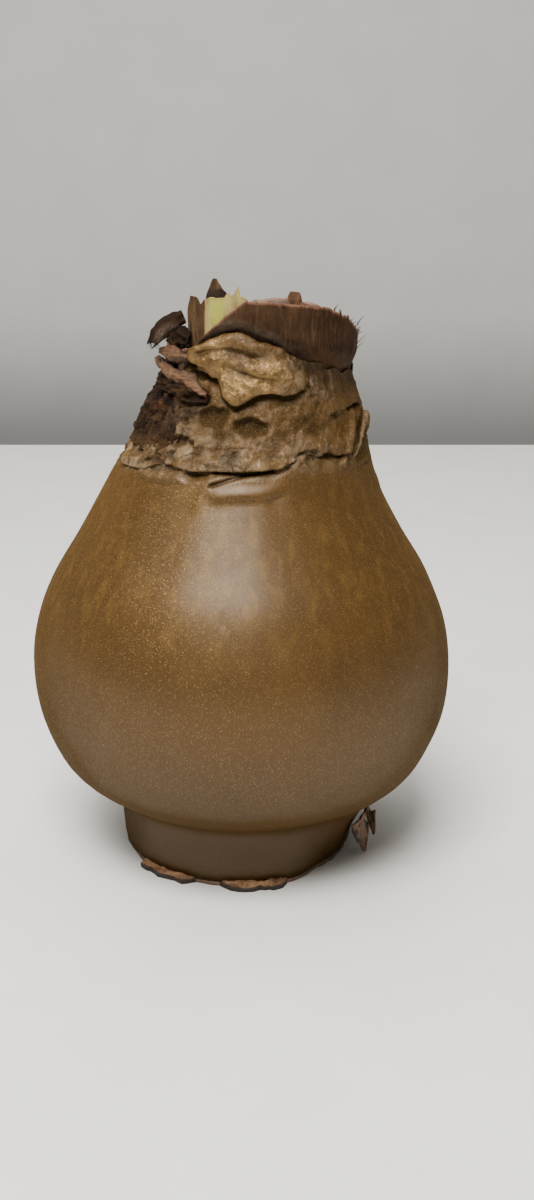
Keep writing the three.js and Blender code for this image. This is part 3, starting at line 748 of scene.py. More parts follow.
def buildBulb():
    s = core
    columns = s["columns"]
    angle = (np.arange(columns) / columns * 360 - 180)[None, :]
    inWax = lambda z: footLift(-45, z) - waxWall(z) - 0.5 - 2.4 * (1 - smooth(z, 2, 11))
    plateR = np.array([3, 8, 14, 20, 25, 27.2, s["plate"], s["plate"] + 0.1, s["plate"] - 0.2, 25.6])
    plateZ = np.array([0, 0, 0, 0, 0, 0, 0.12, 0.6, 0.9, 0.95])
    bodyZ = np.linspace(2.5, 96, 22)
    neckZ = np.linspace(100, 118, 16)
    inR = np.concatenate([plateR, inWax(bodyZ), [20.6], np.full(16, s["neck"])])[:, None]
    inZ = np.concatenate([plateZ, bodyZ, [99], neckZ])[:, None]
    # cut face, from the outside in, as ridges one scale wide
    t = np.linspace(0, 1, 90)[:, None]
    faceR = s["neck"] * (1 - t) + 0.4 * t
    rim = lineThrough(s["rimLine"])(angle)
    notch = smooth(angle, -58, -52) * (1 - smooth(angle, -7, -1))
    narrow = 1 + (s["notch"] / s["neck"] - 1) * notch
    wander = 1.5 * cloud(onBulb(angle + 0 * t, 0 * faceR, faceR), 8, 81, 2)
    phase = (faceR + wander * t * (1 - t) * 4) / s["neck"] * s["scales"]
    gapShape = np.abs(np.modf(phase)[0] - 0.5) * 2  # 1 at the gap between two scales
    faceZ = s["rim"] + 0 * angle - 1.5 * smooth(gapShape, 0.72, 1) - 2.4 * smooth(t, 0.4, 1)
    flatXY = onBulb(angle + 0 * t, 120 + 0 * faceR, faceR)
    faceZ = faceZ + 0.45 * cloud(flatXY, 2.6, 83, 2) * smooth(t, 0, 0.05)
    faceZ = faceZ + 0.9 * cloud(flatXY, 7, 85) * (1 - t)
    share = (s["rim"] - rim) * smooth(faceR, 2, s["neck"])
    faceZ = faceZ - share
    neckDrop = (s["rim"] - rim) * smooth(inZ, 102.5, 125)
    z = np.concatenate([inZ - neckDrop, faceZ])
    radius = np.concatenate([inR + 0 * angle, faceR + 0 * angle])
    radius = np.where(z > 100, radius * narrow, radius)
    under = (np.arange(len(z)) < 6)[:, None]
    bottom = onBulb(angle + 0 * z, z, radius)
    z = np.where(under, z + 0.25 * np.clip(cloud(bottom, 3, 89, 2) + 0.1, 0, 1) * (radius < 26), z)
    radius = radius + ((np.arange(len(z)) >= 6) & (np.arange(len(z)) < 9))[:, None] * 0.35 * cloud(
        flatPoint(angle, 0 * angle), 3, 91, 2)
    footRows = (np.arange(len(z)) < 10)[:, None]
    radius = radius - footCut["bulb"] * cutShare(angle) * (z < 1.2) * (radius > 22) * footRows
    points = onBulb(angle + 0 * z, z, radius)
    faceMask = (np.arange(len(z)) >= len(inZ))[:, None] & (z > 0)
    gapFull = np.concatenate([np.zeros((len(inZ), columns)), smooth(gapShape, 0.6, 1) + 0 * faceZ])
    # crease: painted shade in the gaps between the cut scales
    masks = dict(crease=gapFull * 0.9, dry=faceMask * smooth(cloud(points, 4, 93, 2), -0.3, 0.5) * 0.8,
                 pink=faceMask * smooth(radius, 15.5, 18.5) * 0.8,
                 cork=np.repeat((np.arange(len(z)) < 10)[:, None], columns, axis=1) * 1.0)
    rows = len(z)
    centre = [onBulb(0.0, 0.0, 0.0), onBulb(0.0, points[-1, :, 2].mean(), 0.0)]
    faces = ringFaces(rows, columns)
    flat = points.reshape(-1, 3)
    last = len(flat)
    for j in range(columns):
        k = (j + 1) % columns
        faces.append([last, k, j])
        faces.append([last + 1, (rows - 1) * columns + j, (rows - 1) * columns + k])
    masks = {k: np.concatenate([np.broadcast_to(v, (rows, columns)).ravel(), [v2, v3]])
             for k, v, v2, v3 in ((k, v, 1.0 if k == "cork" else 0.0, 0.0) for k, v in masks.items())}
    return makePiece("bulbBody", np.concatenate([flat, centre]), faces, masks, bulbMaterial,
                     ("bulb",))


buildBulb()
print("bulb ready")


# dry skins around the cut
def tornTop(angle, seed, coarse, fine, spikes=0.0):  # ragged edge, mm
    p = flatPoint(angle, 0 * np.asarray(angle, float))
    edge = coarse * cloud(p, 3.2, seed, 2) + fine * cloud(p, 0.7, seed + 3, 2)
    return edge + spikes * np.clip(cloud(p, 0.55, seed + 5) - 0.25, 0, 1) ** 1.5


def buildSkin(name, node, s):
    u = np.linspace(0, 1, s["columns"])[None, :]
    v = np.linspace(0, 1, s["rows"])[:, None]
    angle = s["span"][0] + (s["span"][1] - s["span"][0]) * u
    wrapped = np.where(angle > 180, angle - 360, angle)
    waxEdge = curveThrough(coat["top"])(wrapped)
    ragged = lineThrough(s["ragged"])(angle)
    top = lineThrough(s["top"])(angle) + tornTop(angle, s["seed"], 0.35, 0.25, 2.2) * ragged
    start = np.minimum(waxEdge - 5, top - 4)
    z = start + (top - start) * v
    p = flatPoint(angle, z, 3.0 * s["seed"])
    film = smooth(wrapped, 8, 26) * (1 - smooth(wrapped, 120, 160))  # here the wax is only a film on the skin
    flare = s["flare"] * smooth(z, waxEdge + 0.2 - 0.8 * film, waxEdge + 2.4 + 1.5 * film)
    stretched = np.stack([p[..., 0], p[..., 1], p[..., 2] * 0.35], axis=-1)
    wrinkle = (0.22 * cloud(stretched, 2.6, s["seed"] + 11, 2) + 0.10 * cloud(stretched, 0.9, s["seed"] + 13)
               + 0.35 * cloud(p, 6, s["seed"] + 17))
    # a rumpled roll along the lower edge where it leaves the wax
    rumpleHeight = lineThrough([(-50, 0.5), (-20, 0.9), (8, 0.8), (22, 0.2), (40, 0), (400, 0.2)])
    rumple = hump(z, waxEdge + 1.3, 0.9) * rumpleHeight(angle)
    wrinkle = wrinkle + 0.45 * rumple * (0.6 + cloud(p, 1.7, s["seed"] + 19))
    clear = smooth(z, waxEdge, waxEdge + 1.5)
    radius = 20.1 + flare + wrinkle * clear
    radius = radius + s["lip"] * smooth(v, 0.8, 1.0) * ragged
    thickness = 0.42 - 0.2 * smooth(v, 0.9, 1)
    front = onBulb(angle + 0 * z, z, radius)
    back = onBulb(angle + 0 * z, z, radius - thickness)
    under = np.clip(top - z, 0, 40)
    # crease: painted shadow along the lower edge where the skin leaves the wax; dustAndSheen: grey dust with
    # painted sheen on the rumpled roll
    masks = dict(torn=(1 - smooth(under, 0.15, 0.7)) * s["paleEdge"] + 0 * z,
                 crease=(1 - smooth(z, waxEdge, waxEdge + 0.9)) * 0.85 * (1 - 0.8 * film) + 0 * z,
                 dustAndSheen=rumple * 0.7 + 0.35 * (1 - smooth(angle, -30, -6)) + 0 * z)
    return sheetPiece(name, front, back, masks, skinMaterial, (node,))


frontSkin = dict(columns=520, rows=58, span=(-51, 98), flare=1.35, seed=3, lip=0.15, paleEdge=0.75,
                 top=[(-52, 116.6), (-43, 117.2), (-33, 119.8), (-21, 123.2), (-8, 127.0), (6, 126.8),
                      (22, 126.2), (42, 125.2), (55, 123.4), (68, 121.3), (86, 119), (98, 120.5)],
                 ragged=[(-52, 0.3), (-10, 0.3), (30, 0.4), (42, 1.0), (90, 1.2), (98, 1)])
backSkin = dict(columns=420, rows=46, span=(101, 258), flare=1.3, seed=5, lip=0.2, paleEdge=0.6,
                top=[(100, 120.5), (130, 122.3), (180, 123.5), (210, 121.8), (235, 117.8), (258, 116)],
                ragged=[(100, 1), (180, 0.7), (258, 1)])
buildSkin("drySkinFront", "dry_skin_front", frontSkin)
buildSkin("drySkinBack", "dry_skin_back", backSkin)
print("dry skins ready")


# torn scales in the notch at the front left
def buildScale(name, node, s, material):
    u = np.linspace(0, 1, s["columns"])[None, :]
    v = np.linspace(0, 1, s["rows"])[:, None]
    angle = s["span"][0] + (s["span"][1] - s["span"][0]) * u
    top = lineThrough(s["top"])(angle) + tornTop(angle, s["seed"], s["ragged"], s["ragged"] * 0.5)
    z = s["foot"] + (top - s["foot"]) * v
    p = flatPoint(angle, z, 5.0 * s["seed"])
    ribs = np.stack([p[..., 0], p[..., 1], p[..., 2] * 0.12], axis=-1)
    bend = s["bend"] * v**2 + s["ribs"] * cloud(ribs, s["ribSize"], s["seed"] + 1, 2)
    bend = bend + s["lumps"] * cloud(p, 2.2, s["seed"] + 2)
    radius = s["outer"] + bend + s["bow"] * np.sin(np.pi * u)
    drift = s["drift"] * v  # sideways lean, degrees
    front = onBulb(angle + drift, z, radius)
    back = onBulb(angle + drift, z, radius - s["thickness"] * (1 - 0.5 * v**4))
    side = smooth(u, s["side"][0], s["side"][0] + 0.06) * (1 - smooth(u, s["side"][1] - 0.06, s["side"][1]))
    freshFrom = s.get("freshFrom", 0)
    darkBelow = s.get("darkBelow", 0)
    low = 1 - smooth(z + 0.8 * cloud(p, 1.4, s["seed"] + 6), freshFrom - 0.5, freshFrom + 0.5)
    split = smooth(-cloud(ribs, s["ribSize"] * 0.6, s["seed"] + 4), 0.25, 0.7) * s["splits"]
    # crease: painted shade in the splits, and darker below darkBelow
    masks = dict(side=np.maximum(1 - side, low) * s["sideAmount"] + 0 * z,
                 torn=(1 - smooth(top - z, 0.1, 0.8)) * s["tornEdge"],
                 crease=np.maximum(split, 0.85 * (1 - smooth(z, darkBelow - 0.5, darkBelow + 0.3))))
    return sheetPiece(name, front, back, masks, material, (node,) if node else ())


greenScale = dict(columns=120, rows=90, span=(-35.5, -6.5), foot=112, outer=19.5, thickness=0.8, bend=0.25,
                  bow=0.2, ribs=0.10, ribSize=1.1, lumps=0.08, drift=0, seed=13, ragged=0.28,
                  side=(0.12, 0.52), sideAmount=1.0, tornEdge=0.5, splits=0.25, freshFrom=121.8,
                  top=[(-35.5, 126.9), (-31, 127.6), (-27, 127.3), (-21, 127.3), (-19, 128.4), (-17, 127.7),
                       (-15, 128), (-12.5, 129.6), (-11.5, 127.8), (-6.5, 127)])
brownTab = dict(columns=80, rows=90, span=(-50, -35.8), foot=112, outer=19.5, thickness=0.7, bend=0.5,
                bow=0.25, ribs=0.22, ribSize=1.5, lumps=0.15, drift=1.0, seed=17, ragged=0.35, side=(0, 1),
                sideAmount=0, tornEdge=0.2, splits=0.7,
                top=[(-50, 124.6), (-47, 127.4), (-41, 127.2), (-38.5, 126), (-35.8, 127)])
dryTip = dict(columns=90, rows=110, span=(-37, -19), foot=114, outer=18.2, thickness=0.7, bend=0.0, bow=0.9,
              ribs=0.35, ribSize=1.6, lumps=0.35, drift=0, seed=19, ragged=0.3, side=(0, 1), sideAmount=0,
              tornEdge=0, splits=0.5, darkBelow=129.4,
              top=[(-37, 127), (-34.5, 128.8), (-32, 130.1), (-30, 131.6), (-27.5, 131.5), (-24.5, 129.8),
                   (-21.5, 128.4), (-19, 126.8)])
stub = dict(columns=50, rows=50, span=(16.8, 27.6), foot=121, outer=18.9, thickness=1.4, bend=0.0, bow=0.3,
            ribs=0.22, ribSize=1.4, lumps=0.25, drift=0, seed=23, ragged=0.35, side=(0, 1), sideAmount=0,
            tornEdge=0.4, splits=0.4,
            top=[(16.8, 126.6), (18.2, 127.7), (19.6, 128.7), (25.5, 128.6), (26.6, 127.8), (27.6, 126.4)])
buildScale("greenScale", "green_scale", greenScale, freshMaterial)
buildScale("cutStub", None, stub, pinkMaterial)
buildScale("brownTab", "brown_tab", brownTab, brownMaterial)
buildScale("dryTip", "dry_tip", dryTip, brownMaterial)
print("torn scales ready")

# crumpled skin on the left
crumple = dict(columns=230, rows=160, span=(-104, -37), foot=96.6, thickness=0.8,
               top=[(-101, 112.2), (-85, 114.4), (-72, 116), (-60, 117), (-52, 116.6), (-49, 114),
                    (-45, 108.5), (-40, 105.6), (-37, 104)])


def buildCrumple():
    s = crumple
    u = np.linspace(0, 1, s["columns"])[None, :]
    v = np.linspace(0, 1, s["rows"])[:, None]
    angle = s["span"][0] + (s["span"][1] - s["span"][0]) * u
    top = lineThrough(s["top"])(angle) + tornTop(angle, 29, 0.6, 0.35)
    foot = s["foot"] + tornTop(angle, 27, 0.9, 0.5)
    z = foot + (top - foot) * v
    p = flatPoint(angle, z, 9)
    onWax = waxRadius(z) + 0.35
    body = 20.2 + (onWax - 20.2) * (1 - smooth(z, 105, 114))
    # folds run at a slant
    torn = np.stack([p[..., 0], p[..., 1], p[..., 2] * 0.6 + 0.5 * p[..., 0]], axis=-1)
    folded = creased(torn, 3.4, 101)
    finer = creased(torn, 1.5, 103)
    loose = smooth(z, foot, foot + 2.5)
    ends = smooth(u, 0, 0.08) * (1 - smooth(u, 0.9, 1))
    radius = body + (1.35 * (folded - 0.35) + 0.7 * (finer - 0.4)) * loose * (0.3 + 0.7 * ends)
    radius = radius + 0.22 * cloud(p, 0.7, 105, 2) - 0.7 * (1 - ends)
    lean = 2.6 * cloud(p, 5, 107)  # sideways shove, degrees
    front = onBulb(angle + lean * ends, z, radius)
    back = onBulb(angle + 0 * z, z, np.minimum(radius - 0.3, body - s["thickness"]))
    fromRed = np.hypot((angle + 60) * 0.4, z - 104.6)
    red = np.exp(-(fromRed / 1.2) ** 2) * smooth(cloud(p, 1.6, 109), -0.3, 0.3)
    # crease: painted shade in the valleys of the folds
    masks = dict(red=red, crease=smooth(-folded, -0.25, 0.2) * 0.9,
                 waxed=smooth(folded, 0.62, 0.85) * 0.35 + 0.5 * (1 - smooth(z, 97.4, 99.5)))
    return sheetPiece("crumpledSkinLeft", front, back, masks, blackMaterial,
                      ("crumpled_skin_left",))


buildCrumple()


# strips that lie on the wax below the fold
def buildStrip(name, node, s, material):
    u = np.linspace(0, 1, s["columns"])[None, :]
    v = np.linspace(0, 1, s["rows"])[:, None]
    line = s["line"]
    angle = line[0][0] + (line[-1][0] - line[0][0]) * u
    width = lineThrough(s["width"])(u)
    p0 = flatPoint(angle, 0 * angle, s["seed"])
    middle = curveThrough(line)(angle) + 0.25 * cloud(p0, 2.4, s["seed"])
    z = middle + width * (v - 0.5) * (1 + 0.25 * cloud(p0, 1.2, s["seed"] + 1))
    p = flatPoint(angle, z, 3.0 * s["seed"])
    out = waxRelief(angle + 0 * z, z)[0]
    round_ = np.sin(np.pi * v) ** 0.35
    # folds run along the strip
    slant = np.stack([p[..., 0] * 0.45, p[..., 1] * 0.45, p[..., 2] * 1.3], axis=-1)
    lump = s["crumple"] * (creased(slant, 1.8, s["seed"] + 2) - 0.4) + 0.10 * cloud(p, 0.8, s["seed"] + 3, 2)
    radius = waxRadius(z) + np.minimum(out, 0.2) + s["lift"] + s["thickness"] * round_ + lump
    front = onBulb(angle + 0 * z, z, radius)
    back = onBulb(angle + 0 * z, z, waxRadius(z) + np.minimum(out, 0.2) + s["lift"] - 0.5 + 0.2 * round_)
    # crease: painted shade along the strip's edges and in its folds
    masks = dict(crease=(1 - round_) * 0.7 + smooth(-lump, 0.0, 0.3) * 0.4, torn=0 * z, side=0 * z,
                 red=0 * z, waxed=smooth(lump, 0.1, 0.4) * 0.4)
    return sheetPiece(name, front, back, masks, material, (node,) if node else ())


pinkStrip = dict(columns=150, rows=40, seed=111, lift=0.35, thickness=0.45, crumple=0.5,
                 line=[(-78, 114.2), (-70, 113.4), (-60, 112.3), (-50, 111.7), (-42, 111.2), (-34, 110),
                       (-27, 108)],
                 width=[(0, 2.0), (0.15, 3.0), (0.5, 2.6), (0.8, 3.0), (1, 1.4)])
tanStub = dict(columns=90, rows=40, seed=115, lift=0.1, thickness=0.8, crumple=0.45,
               line=[(-70, 116.2), (-62, 116.2), (-54, 115.8), (-46, 115.2), (-41, 115.4)],
               width=[(0, 1.4), (0.25, 2.6), (0.6, 2.8), (1, 1.6)])
blackShred = dict(columns=120, rows=40, seed=121, lift=0.35, thickness=0.8, crumple=0.9,
                  line=[(-68, 109.8), (-58, 109.6), (-48, 109), (-40, 108.2), (-32, 107.4), (-26, 107.2)],
                  width=[(0, 1.6), (0.3, 2.4), (0.6, 3.0), (0.85, 3.2), (1, 1.4)])
darkRoot = dict(columns=90, rows=46, seed=127, lift=-1.1, thickness=0.9, crumple=1.3,
                line=[(-70, 117.6), (-63, 118.8), (-56, 119.6), (-50, 119.4), (-45, 118.6)],
                width=[(0, 2.0), (0.3, 3.6), (0.7, 4.2), (1, 2.6)])
buildStrip("pinkStrip", "pink_strip", pinkStrip, pinkMaterial)
buildStrip("tanStub", None, tanStub, pinkMaterial)
buildStrip("blackShred", "black_shred", blackShred, blackMaterial)
buildStrip("darkRoot", None, darkRoot, blackMaterial)
print("left of the neck ready")

# curled end of dry skin, standing off the left
curl = dict(columns=90, rows=60, thickness=0.35,
            # middle line in mm, before the lean of the neck
            path=[(-22.8, -9.6, 117.8), (-21.0, -9.8, 120.2), (-18.8, -9.6, 122.3), (-16.2, -8.8, 123.6)],
            across=(0.30, -0.9, -0.1), turns=(-0.62, 0.42))


def buildCurl():
    s = curl
    path = np.array(s["path"], float)
    ends = np.linspace(0, 1, len(path))
    u = np.linspace(0, 1, s["columns"])
    middle = np.stack([curveThrough(list(zip(ends, path[:, i])))(u) for i in range(3)], axis=-1)
    along = np.gradient(middle, axis=0)
    along /= np.linalg.norm(along, axis=1)[:, None]
    across = np.array(s["across"]) / np.linalg.norm(s["across"])
    side = np.cross(along, across)
    side /= np.linalg.norm(side, axis=1)[:, None]
    v = np.linspace(0, 1, s["rows"])[:, None]
    uu = u[None, :] + 0 * v
    ragged = 0.10 * cloud(np.stack([v * 9 + 0 * uu, 0 * uu, 0 * uu], axis=-1), 1.0, 131, 2)
    turn = (s["turns"][0] + (s["turns"][1] - s["turns"][0]) * v + 0.10 * np.sin(5 * uu)) * np.pi
    p = np.stack([uu * 9, v * 6 + 0 * uu, 0 * uu], axis=-1)
    radius = (0.65 + 0.85 * np.sin(np.pi * (0.05 + 0.72 * uu)) + 0.25 * cloud(p, 2.2, 133, 2)
              + 0.30 * (creased(p, 2.4, 135) - 0.4))
    slide = ragged * (1 - smooth(uu, 0, 0.3)) * 10
    centre = middle[None] + slide[..., None] * along[None]

    def shell(grow):
        r = radius + grow
        q = centre + (r * np.cos(turn))[..., None] * across - (r * np.sin(turn))[..., None] * side[None]
        q[..., 0] += neckLean(q[..., 2])
        return q
    # crease: painted shade on the inner side of the curl and in its folds; dustAndSheen: grey dust, partly
    # painted sheen, on the outer side
    masks = dict(torn=0 * uu, crease=np.clip(smooth(v, 0.6, 0.85)
                                             + 0.4 * smooth(-cloud(p, 1.6, 137, 2), 0.3, 0.7), 0, 1) * 0.75,
                 dustAndSheen=(1 - smooth(v, 0.4, 0.8)) * smooth(cloud(p, 3, 139), -0.8, 0.0))
    return sheetPiece("curledFlap", shell(s["thickness"]), shell(0), masks, skinMaterial,
                      ("curled_flap",))


buildCurl()

# loose waxed flap on the right
looseFlap = dict(columns=130, rows=64, span=(55, 98), foot=92.6,
                 top=[(55, 94.6), (60, 95.8), (65, 97.4), (70, 99.4), (75, 101.2), (80, 102.6), (87, 102.4),
                      (93, 100.4), (98, 97.5)])


def buildLooseFlap():
    s = looseFlap
    u = np.linspace(0, 1, s["columns"])[None, :]
    v = np.linspace(0, 1, s["rows"])[:, None]
    angle = s["span"][0] + (s["span"][1] - s["span"][0]) * u
    top = curveThrough(s["top"])(angle) + 0.25 * cloud(flatPoint(angle, 0 * angle), 1.8, 141, 2)
    z = s["foot"] + (top - s["foot"]) * v
    p = flatPoint(angle, z, 17)
    knob = np.exp(-(((angle - 83) / 6.5) ** 2 + ((z - 100.6) / 1.9) ** 2))
    ends = smooth(u, 0, 0.1) * (1 - smooth(u, 0.88, 1))
    lift = -0.2 + (0.35 + 0.75 * v**3) * (0.25 + 0.75 * ends) + 0.95 * knob
    lift = lift + 0.35 * (creased(p, 2.2, 143) - 0.4) * v * ends + 0.22 * cloud(p, 1.1, 145, 2) * (knob + 0.2)
    radius = waxRadius(z) + lift
    front = onBulb(angle + 0 * z, z, radius)
    back = onBulb(angle + 0 * z, z, np.minimum(radius - 0.35 - 0.6 * knob, waxRadius(z) + 0.3 * v - 0.2))
    # dustAndSheen: grey on the knob, with a painted sheen on the upper rim; hollow: painted shade inside the
    # flap
    masks = dict(crease=0 * z, film=0 * z, dustAndSheen=np.clip(0.7 * knob + 0.45 * smooth(v, 0.85, 1), 0, 1),
                 tissue=0.5 * knob * smooth(cloud(p, 1.6, 147), -0.2, 0.4), shoulder=0 * z,
                 hollow=0.8 * between(v, 0.2, 0.78, 0.12) * ends * (1 - knob), rough=0.7 + 0 * z)
    return sheetPiece("looseFlapRight", front, back, masks, waxMaterial, ("loose_flap_right",))


buildLooseFlap()
print("curl and flap ready")


# bark of the root plate
def buildFlake(name, node, s):
    u = np.linspace(0, 1, s["columns"])[None, :]
    v = np.linspace(0, 1, s["rows"])[:, None]  # 0 at the tip, 1 at the wax
    angle = s["span"][0] + (s["span"][1] - s["span"][0]) * u
    p0 = flatPoint(angle, 0 * angle, s["seed"])
    shape = lineThrough(s["outline"])(u) + 0.16 * cloud(p0, 1.6, s["seed"], 2)
    tip = 27.9 + s["reach"] * shape
    root = 27.2
    radius = root + (tip - root) * (1 - v)
    rise = 0.15 + s["rise"] * v**0.7 * (0.4 + 0.6 * shape)
    p = np.stack([p0[..., 0] + 0 * v, p0[..., 1] + 0 * v, v * 4 + 0 * angle], axis=-1)
    lumps = 0.32 * (creased(p, 1.7, s["seed"] + 1) - 0.3) + 0.12 * cloud(p, 0.6, s["seed"] + 2)
    top = onBulb(angle + 0 * v, np.maximum(rise + 0.75 + lumps, 0.2), radius)
    low = onBulb(angle + 0 * v, 0.02 + 0 * (rise + angle), radius)
    # crease: painted shadow along the tip on the floor and under the wax edge; reflectedGlow: painted
    # reflection, an orange-red glow below the wax edge
    masks = dict(crease=np.clip((1 - smooth(v, 0.02, 0.12)) + smooth(v, 0.85, 1.0) * 0.8
                                + smooth(-lumps, 0.1, 0.25) * 0.3, 0, 1)
                 + 0 * angle, reflectedGlow=smooth(v, 0.5, 0.85) + 0 * angle)
    return sheetPiece(name, low[::-1], top[::-1], {k: m[::-1] for k, m in masks.items()}, barkMaterial,
                      (node,))


flakeLeft = dict(columns=130, rows=26, span=(-54, -21), reach=2.6, rise=1.0, seed=151,
                 outline=[(0, 0), (0.08, 0.75), (0.3, 0.7), (0.5, 1), (0.7, 0.75), (0.85, 0.8), (1, 0)])
flakeFront = dict(columns=150, rows=26, span=(-10, 22), reach=2.5, rise=1.2, seed=161,
                  outline=[(0, 0), (0.1, 0.5), (0.3, 1), (0.45, 0.9), (0.6, 0.65), (0.75, 0.9), (0.9, 0.8),
                           (1, 0)])
buildFlake("rootFlakeLeft", "root_flake_left", flakeLeft)
buildFlake("rootFlakeFront", "root_flake_front", flakeFront)


def buildBarkStrip(name, node, s):
    u = np.linspace(0, 1, s["columns"])[None, :]
    v = np.linspace(0, 1, s["rows"])[:, None]
    angle = s["span"][0] + (s["span"][1] - s["span"][0]) * u
    p0 = np.stack([angle * 0.5 + 0 * v, v * 10 + 0 * angle, 0 * v + s["seed"] + 0 * angle], axis=-1)
    z = s["low"] + (s["high"] - s["low"]) * v + 0.35 * cloud(p0, 1.2, s["seed"], 2) * (1 - v)
    z = z + 4.5 * (1 - v) ** 2 * np.abs(2 * u - 0.8) ** 1.3  # ends in a ragged point
    angle = angle.mean() + (angle - angle.mean()) * (0.55 + 0.45 * v**0.5)
    stand = s["stand"] * (1 - v) ** 1.4
    radius = np.maximum(waxRadius(z), 29) + 0.35 + stand + 0.3 * cloud(p0, 2.2, s["seed"] + 1, 2)
    front = onBulb(angle + s["drift"] * (1 - v), np.maximum(z, 0.05), radius + s["thickness"])
    back = onBulb(angle + s["drift"] * (1 - v), np.maximum(z, 0.05), radius)
    # crease: painted shade, the strips under the belly are darkened all over
    masks = dict(crease=0.45 + 0.5 * smooth(-cloud(p0, 1.4, s["seed"] + 2), 0.0, 0.5), reflectedGlow=0 * p0[..., 0])
    return sheetPiece(name, front, back, masks, barkMaterial, (node,))


flapRight = dict(columns=60, rows=70, span=(58, 76), low=0.3, high=9.5, stand=1.5, thickness=0.5, drift=1.5,
                 seed=171)
stripRight = dict(columns=30, rows=70, span=(78, 85), low=1.6, high=10.5, stand=2.3, thickness=0.45,
                  drift=-1.5, seed=181)
buildBarkStrip("rootFlapRight", "root_flap_right", flapRight)
buildBarkStrip("rootStripRight", "root_strip_right", stripRight)
print("root bark ready")


# loose fibres
def buildHairs(name, strands, material):
    # strands: lists of (points in mm, radius at the root)
    sides = 5
    points, faces = [], []
    for path, thick in strands:
        path = np.array(path, float)
        ends = np.linspace(0, 1, len(path))
        t = np.linspace(0, 1, 10)
        middle = np.stack([curveThrough(list(zip(ends, path[:, i])))(t) for i in range(3)], axis=-1)
        along = np.gradient(middle, axis=0)
        along /= np.linalg.norm(along, axis=1)[:, None]
        side = np.cross(along, [0.3, 0.2, 0.9])
        side /= np.linalg.norm(side, axis=1)[:, None]
        up = np.cross(side, along)
        base = len(points)
        for i in range(len(t)):
            r = thick * (1 - 0.85 * t[i])
            for k in range(sides):
                a = 2 * math.pi * k / sides
                points.append(middle[i] + r * math.cos(a) * side[i] + r * math.sin(a) * up[i])
        faces += [[base + f for f in face] for face in ringFaces(len(t), sides)]
        faces.append([base + k for k in range(sides)][::-1])
        faces.append([base + (len(t) - 1) * sides + k for k in range(sides)])
    masks = {k: np.zeros(len(points)) for k in ("torn", "crease", "dustAndSheen")}
    return makePiece(name, points, faces, masks, material)


def rimStrands():
    dice = np.random.default_rng(7)
    strands = []
    topLine = lineThrough(frontSkin["top"])
    for i in range(46):
        angle = dice.uniform(44, 97) if i < 34 else dice.uniform(-20, 44)
        z = float(topLine(angle)) - dice.uniform(0.1, 0.9)
        reach = dice.uniform(0.5, 1.6) if i < 34 else dice.uniform(0.3, 0.8)
        swing = dice.uniform(-6, 6)
        root = onBulb(angle, z, 21.2)
        mid = onBulb(angle + swing * 0.4, z + reach * 0.6, 21.4 + dice.uniform(0, 0.3))
        tip = onBulb(angle + swing, z + reach, 21.5 + dice.uniform(0, 0.9))
        strands.append(([root, mid, tip], dice.uniform(0.06, 0.14)))
    for angle, z, dz, out in ((84, 122.0, 1.2, 1.2), (87, 117.6, 1.6, 1.9), (90, 116.4, 1.2, 1.5),
                              (93, 119, 0.5, 1.2)):
        strands.append(([onBulb(angle, z - 0.8, 21.2), onBulb(angle, z, 21.7),
                         onBulb(angle, z + dz, 21.5 + out)], 0.16))
    return strands


buildHairs("rimFibres", rimStrands(), skinMaterial)


def leftStrands():  # dark threads that hang from the curled skin
    dice = np.random.default_rng(11)
    strands = []
    for i in range(16):
        x, z = -18.6 + dice.uniform(-0.6, 1.4), 118.6 + dice.uniform(-0.6, 0.6)
        fall = dice.uniform(0.8, 2.6)
        y = -9.4 + dice.uniform(-1.2, 0.6)
        strands.append(([(x, y, z), (x + dice.uniform(-0.3, 0.5), y, z - fall * 0.6),
                         (x + dice.uniform(-0.2, 1.2), y, z - fall)], dice.uniform(0.05, 0.13)))
    return strands


buildHairs("curlThreads", leftStrands(), skinMaterial)
print("fibres ready")

# floor and wall
room = dict(floorEnd=0.603, wallAt=0.70, wallFoot=-0.25, halfWidth=1.6, front=-1.2, height=1.4)


def paleSurface(name, tint, shadowHeight=0.0):
    material, w, place = newMaterial(name)
    mottle = w.noise(place, 26.0, 4, 0.6)
    weave = w.noise(place, 1400.0, 2, 0.6)
    darker = tuple(c * 0.95 for c in tint[:3]) + (1,)
    base = w.mix(w.range(mottle, 0.35, 0.65), darker, tint)
    if shadowHeight:  # painted shade: the wall is darker where it goes down behind the table
        up = w.node("ShaderNodeSeparateXYZ", {"Vector": place}).outputs["Z"]
        base = w.mix(w.range(up, -0.01, shadowHeight, 0.64, 0), base, (0.10, 0.10, 0.095, 1))
    height = w.math("ADD", weave, w.math("MULTIPLY", mottle, 2.0))
    finishMaterial(w, {"Base Color": base, "Roughness": w.range(weave, 0.3, 0.7, 0.75, 0.9),
                       "Normal": w.bump(height, 0.12, 0.0006)})
    return material


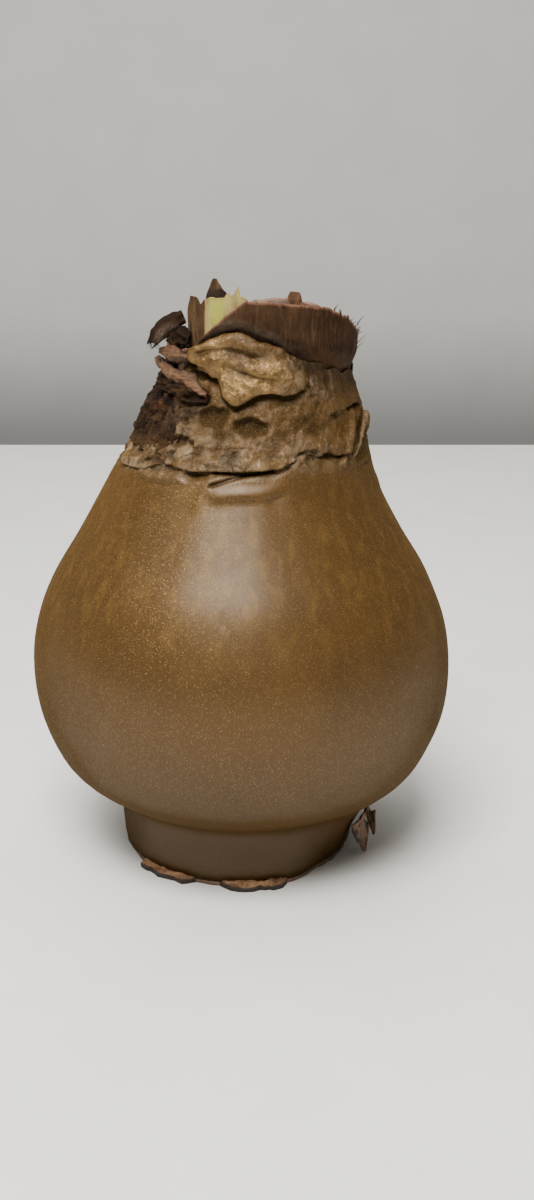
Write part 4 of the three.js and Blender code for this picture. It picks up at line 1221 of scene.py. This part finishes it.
def backdrop(name, corners, material):
    mesh = bpy.data.meshes.new(name)
    mesh.from_pydata(corners, [], [[0, 1, 2, 3]])
    mesh.materials.append(material)
    board = bpy.data.objects.new(name, mesh)
    bpy.context.scene.collection.objects.link(board)


def buildRoom():
    s = room
    x = s["halfWidth"]
    backdrop("table", [(-x, s["front"], 0), (x, s["front"], 0), (x, s["floorEnd"], 0),
                       (-x, s["floorEnd"], 0)],
             paleSurface("tableTop", (0.80, 0.795, 0.765, 1)))
    backdrop("wall", [(-x, s["wallAt"], s["wallFoot"]), (x, s["wallAt"], s["wallFoot"]),
                      (x, s["wallAt"], s["height"]), (-x, s["wallAt"], s["height"])],
             paleSurface("wallPaint", (0.468, 0.466, 0.449, 1), 0.085))


buildRoom()


def areaLight(name, spot, target, size, power, colour):
    data = bpy.data.lights.new(name, "AREA")
    data.shape = "RECTANGLE"
    data.size, data.size_y = size
    data.energy = power
    data.color = colour
    lamp = bpy.data.objects.new(name, data)
    lamp.location = spot
    lamp.rotation_euler = (Vector(target) - Vector(spot)).to_track_quat("-Z", "Y").to_euler()
    bpy.context.scene.collection.objects.link(lamp)


def softLight():
    world = bpy.data.worlds.new("paleRoom")
    bpy.context.scene.world = world
    world.use_nodes = True
    background = world.node_tree.nodes["Background"]
    background.inputs["Color"].default_value = (1.0, 0.985, 0.95, 1)
    background.inputs["Strength"].default_value = 0.26
    areaLight("ceilingLight", (-0.10, -0.42, 0.75), (0, 0, 0.06), (0.42, 0.34), 13.5, (1.0, 0.98, 0.94))
    areaLight("roomLight", (-0.25, 0.2, 1.1), (0, 0.1, 0), (1.4, 1.2), 13.0, (1.0, 0.985, 0.96))


softLight()

eye = dict(spot=(0.006, -0.2786, 0.1385), pitchDown=16.0, lens=37.5)
cameraData = bpy.data.cameras.new("camera")
cameraData.lens = eye["lens"]
cameraData.sensor_width = 36.0
cameraData.clip_start = 0.01
camera = bpy.data.objects.new("camera", cameraData)
camera.location = eye["spot"]
camera.rotation_euler = (math.radians(90 - eye["pitchDown"]), 0, 0)
bpy.context.scene.collection.objects.link(camera)
bpy.context.scene.camera = camera
print("camera and light ready")
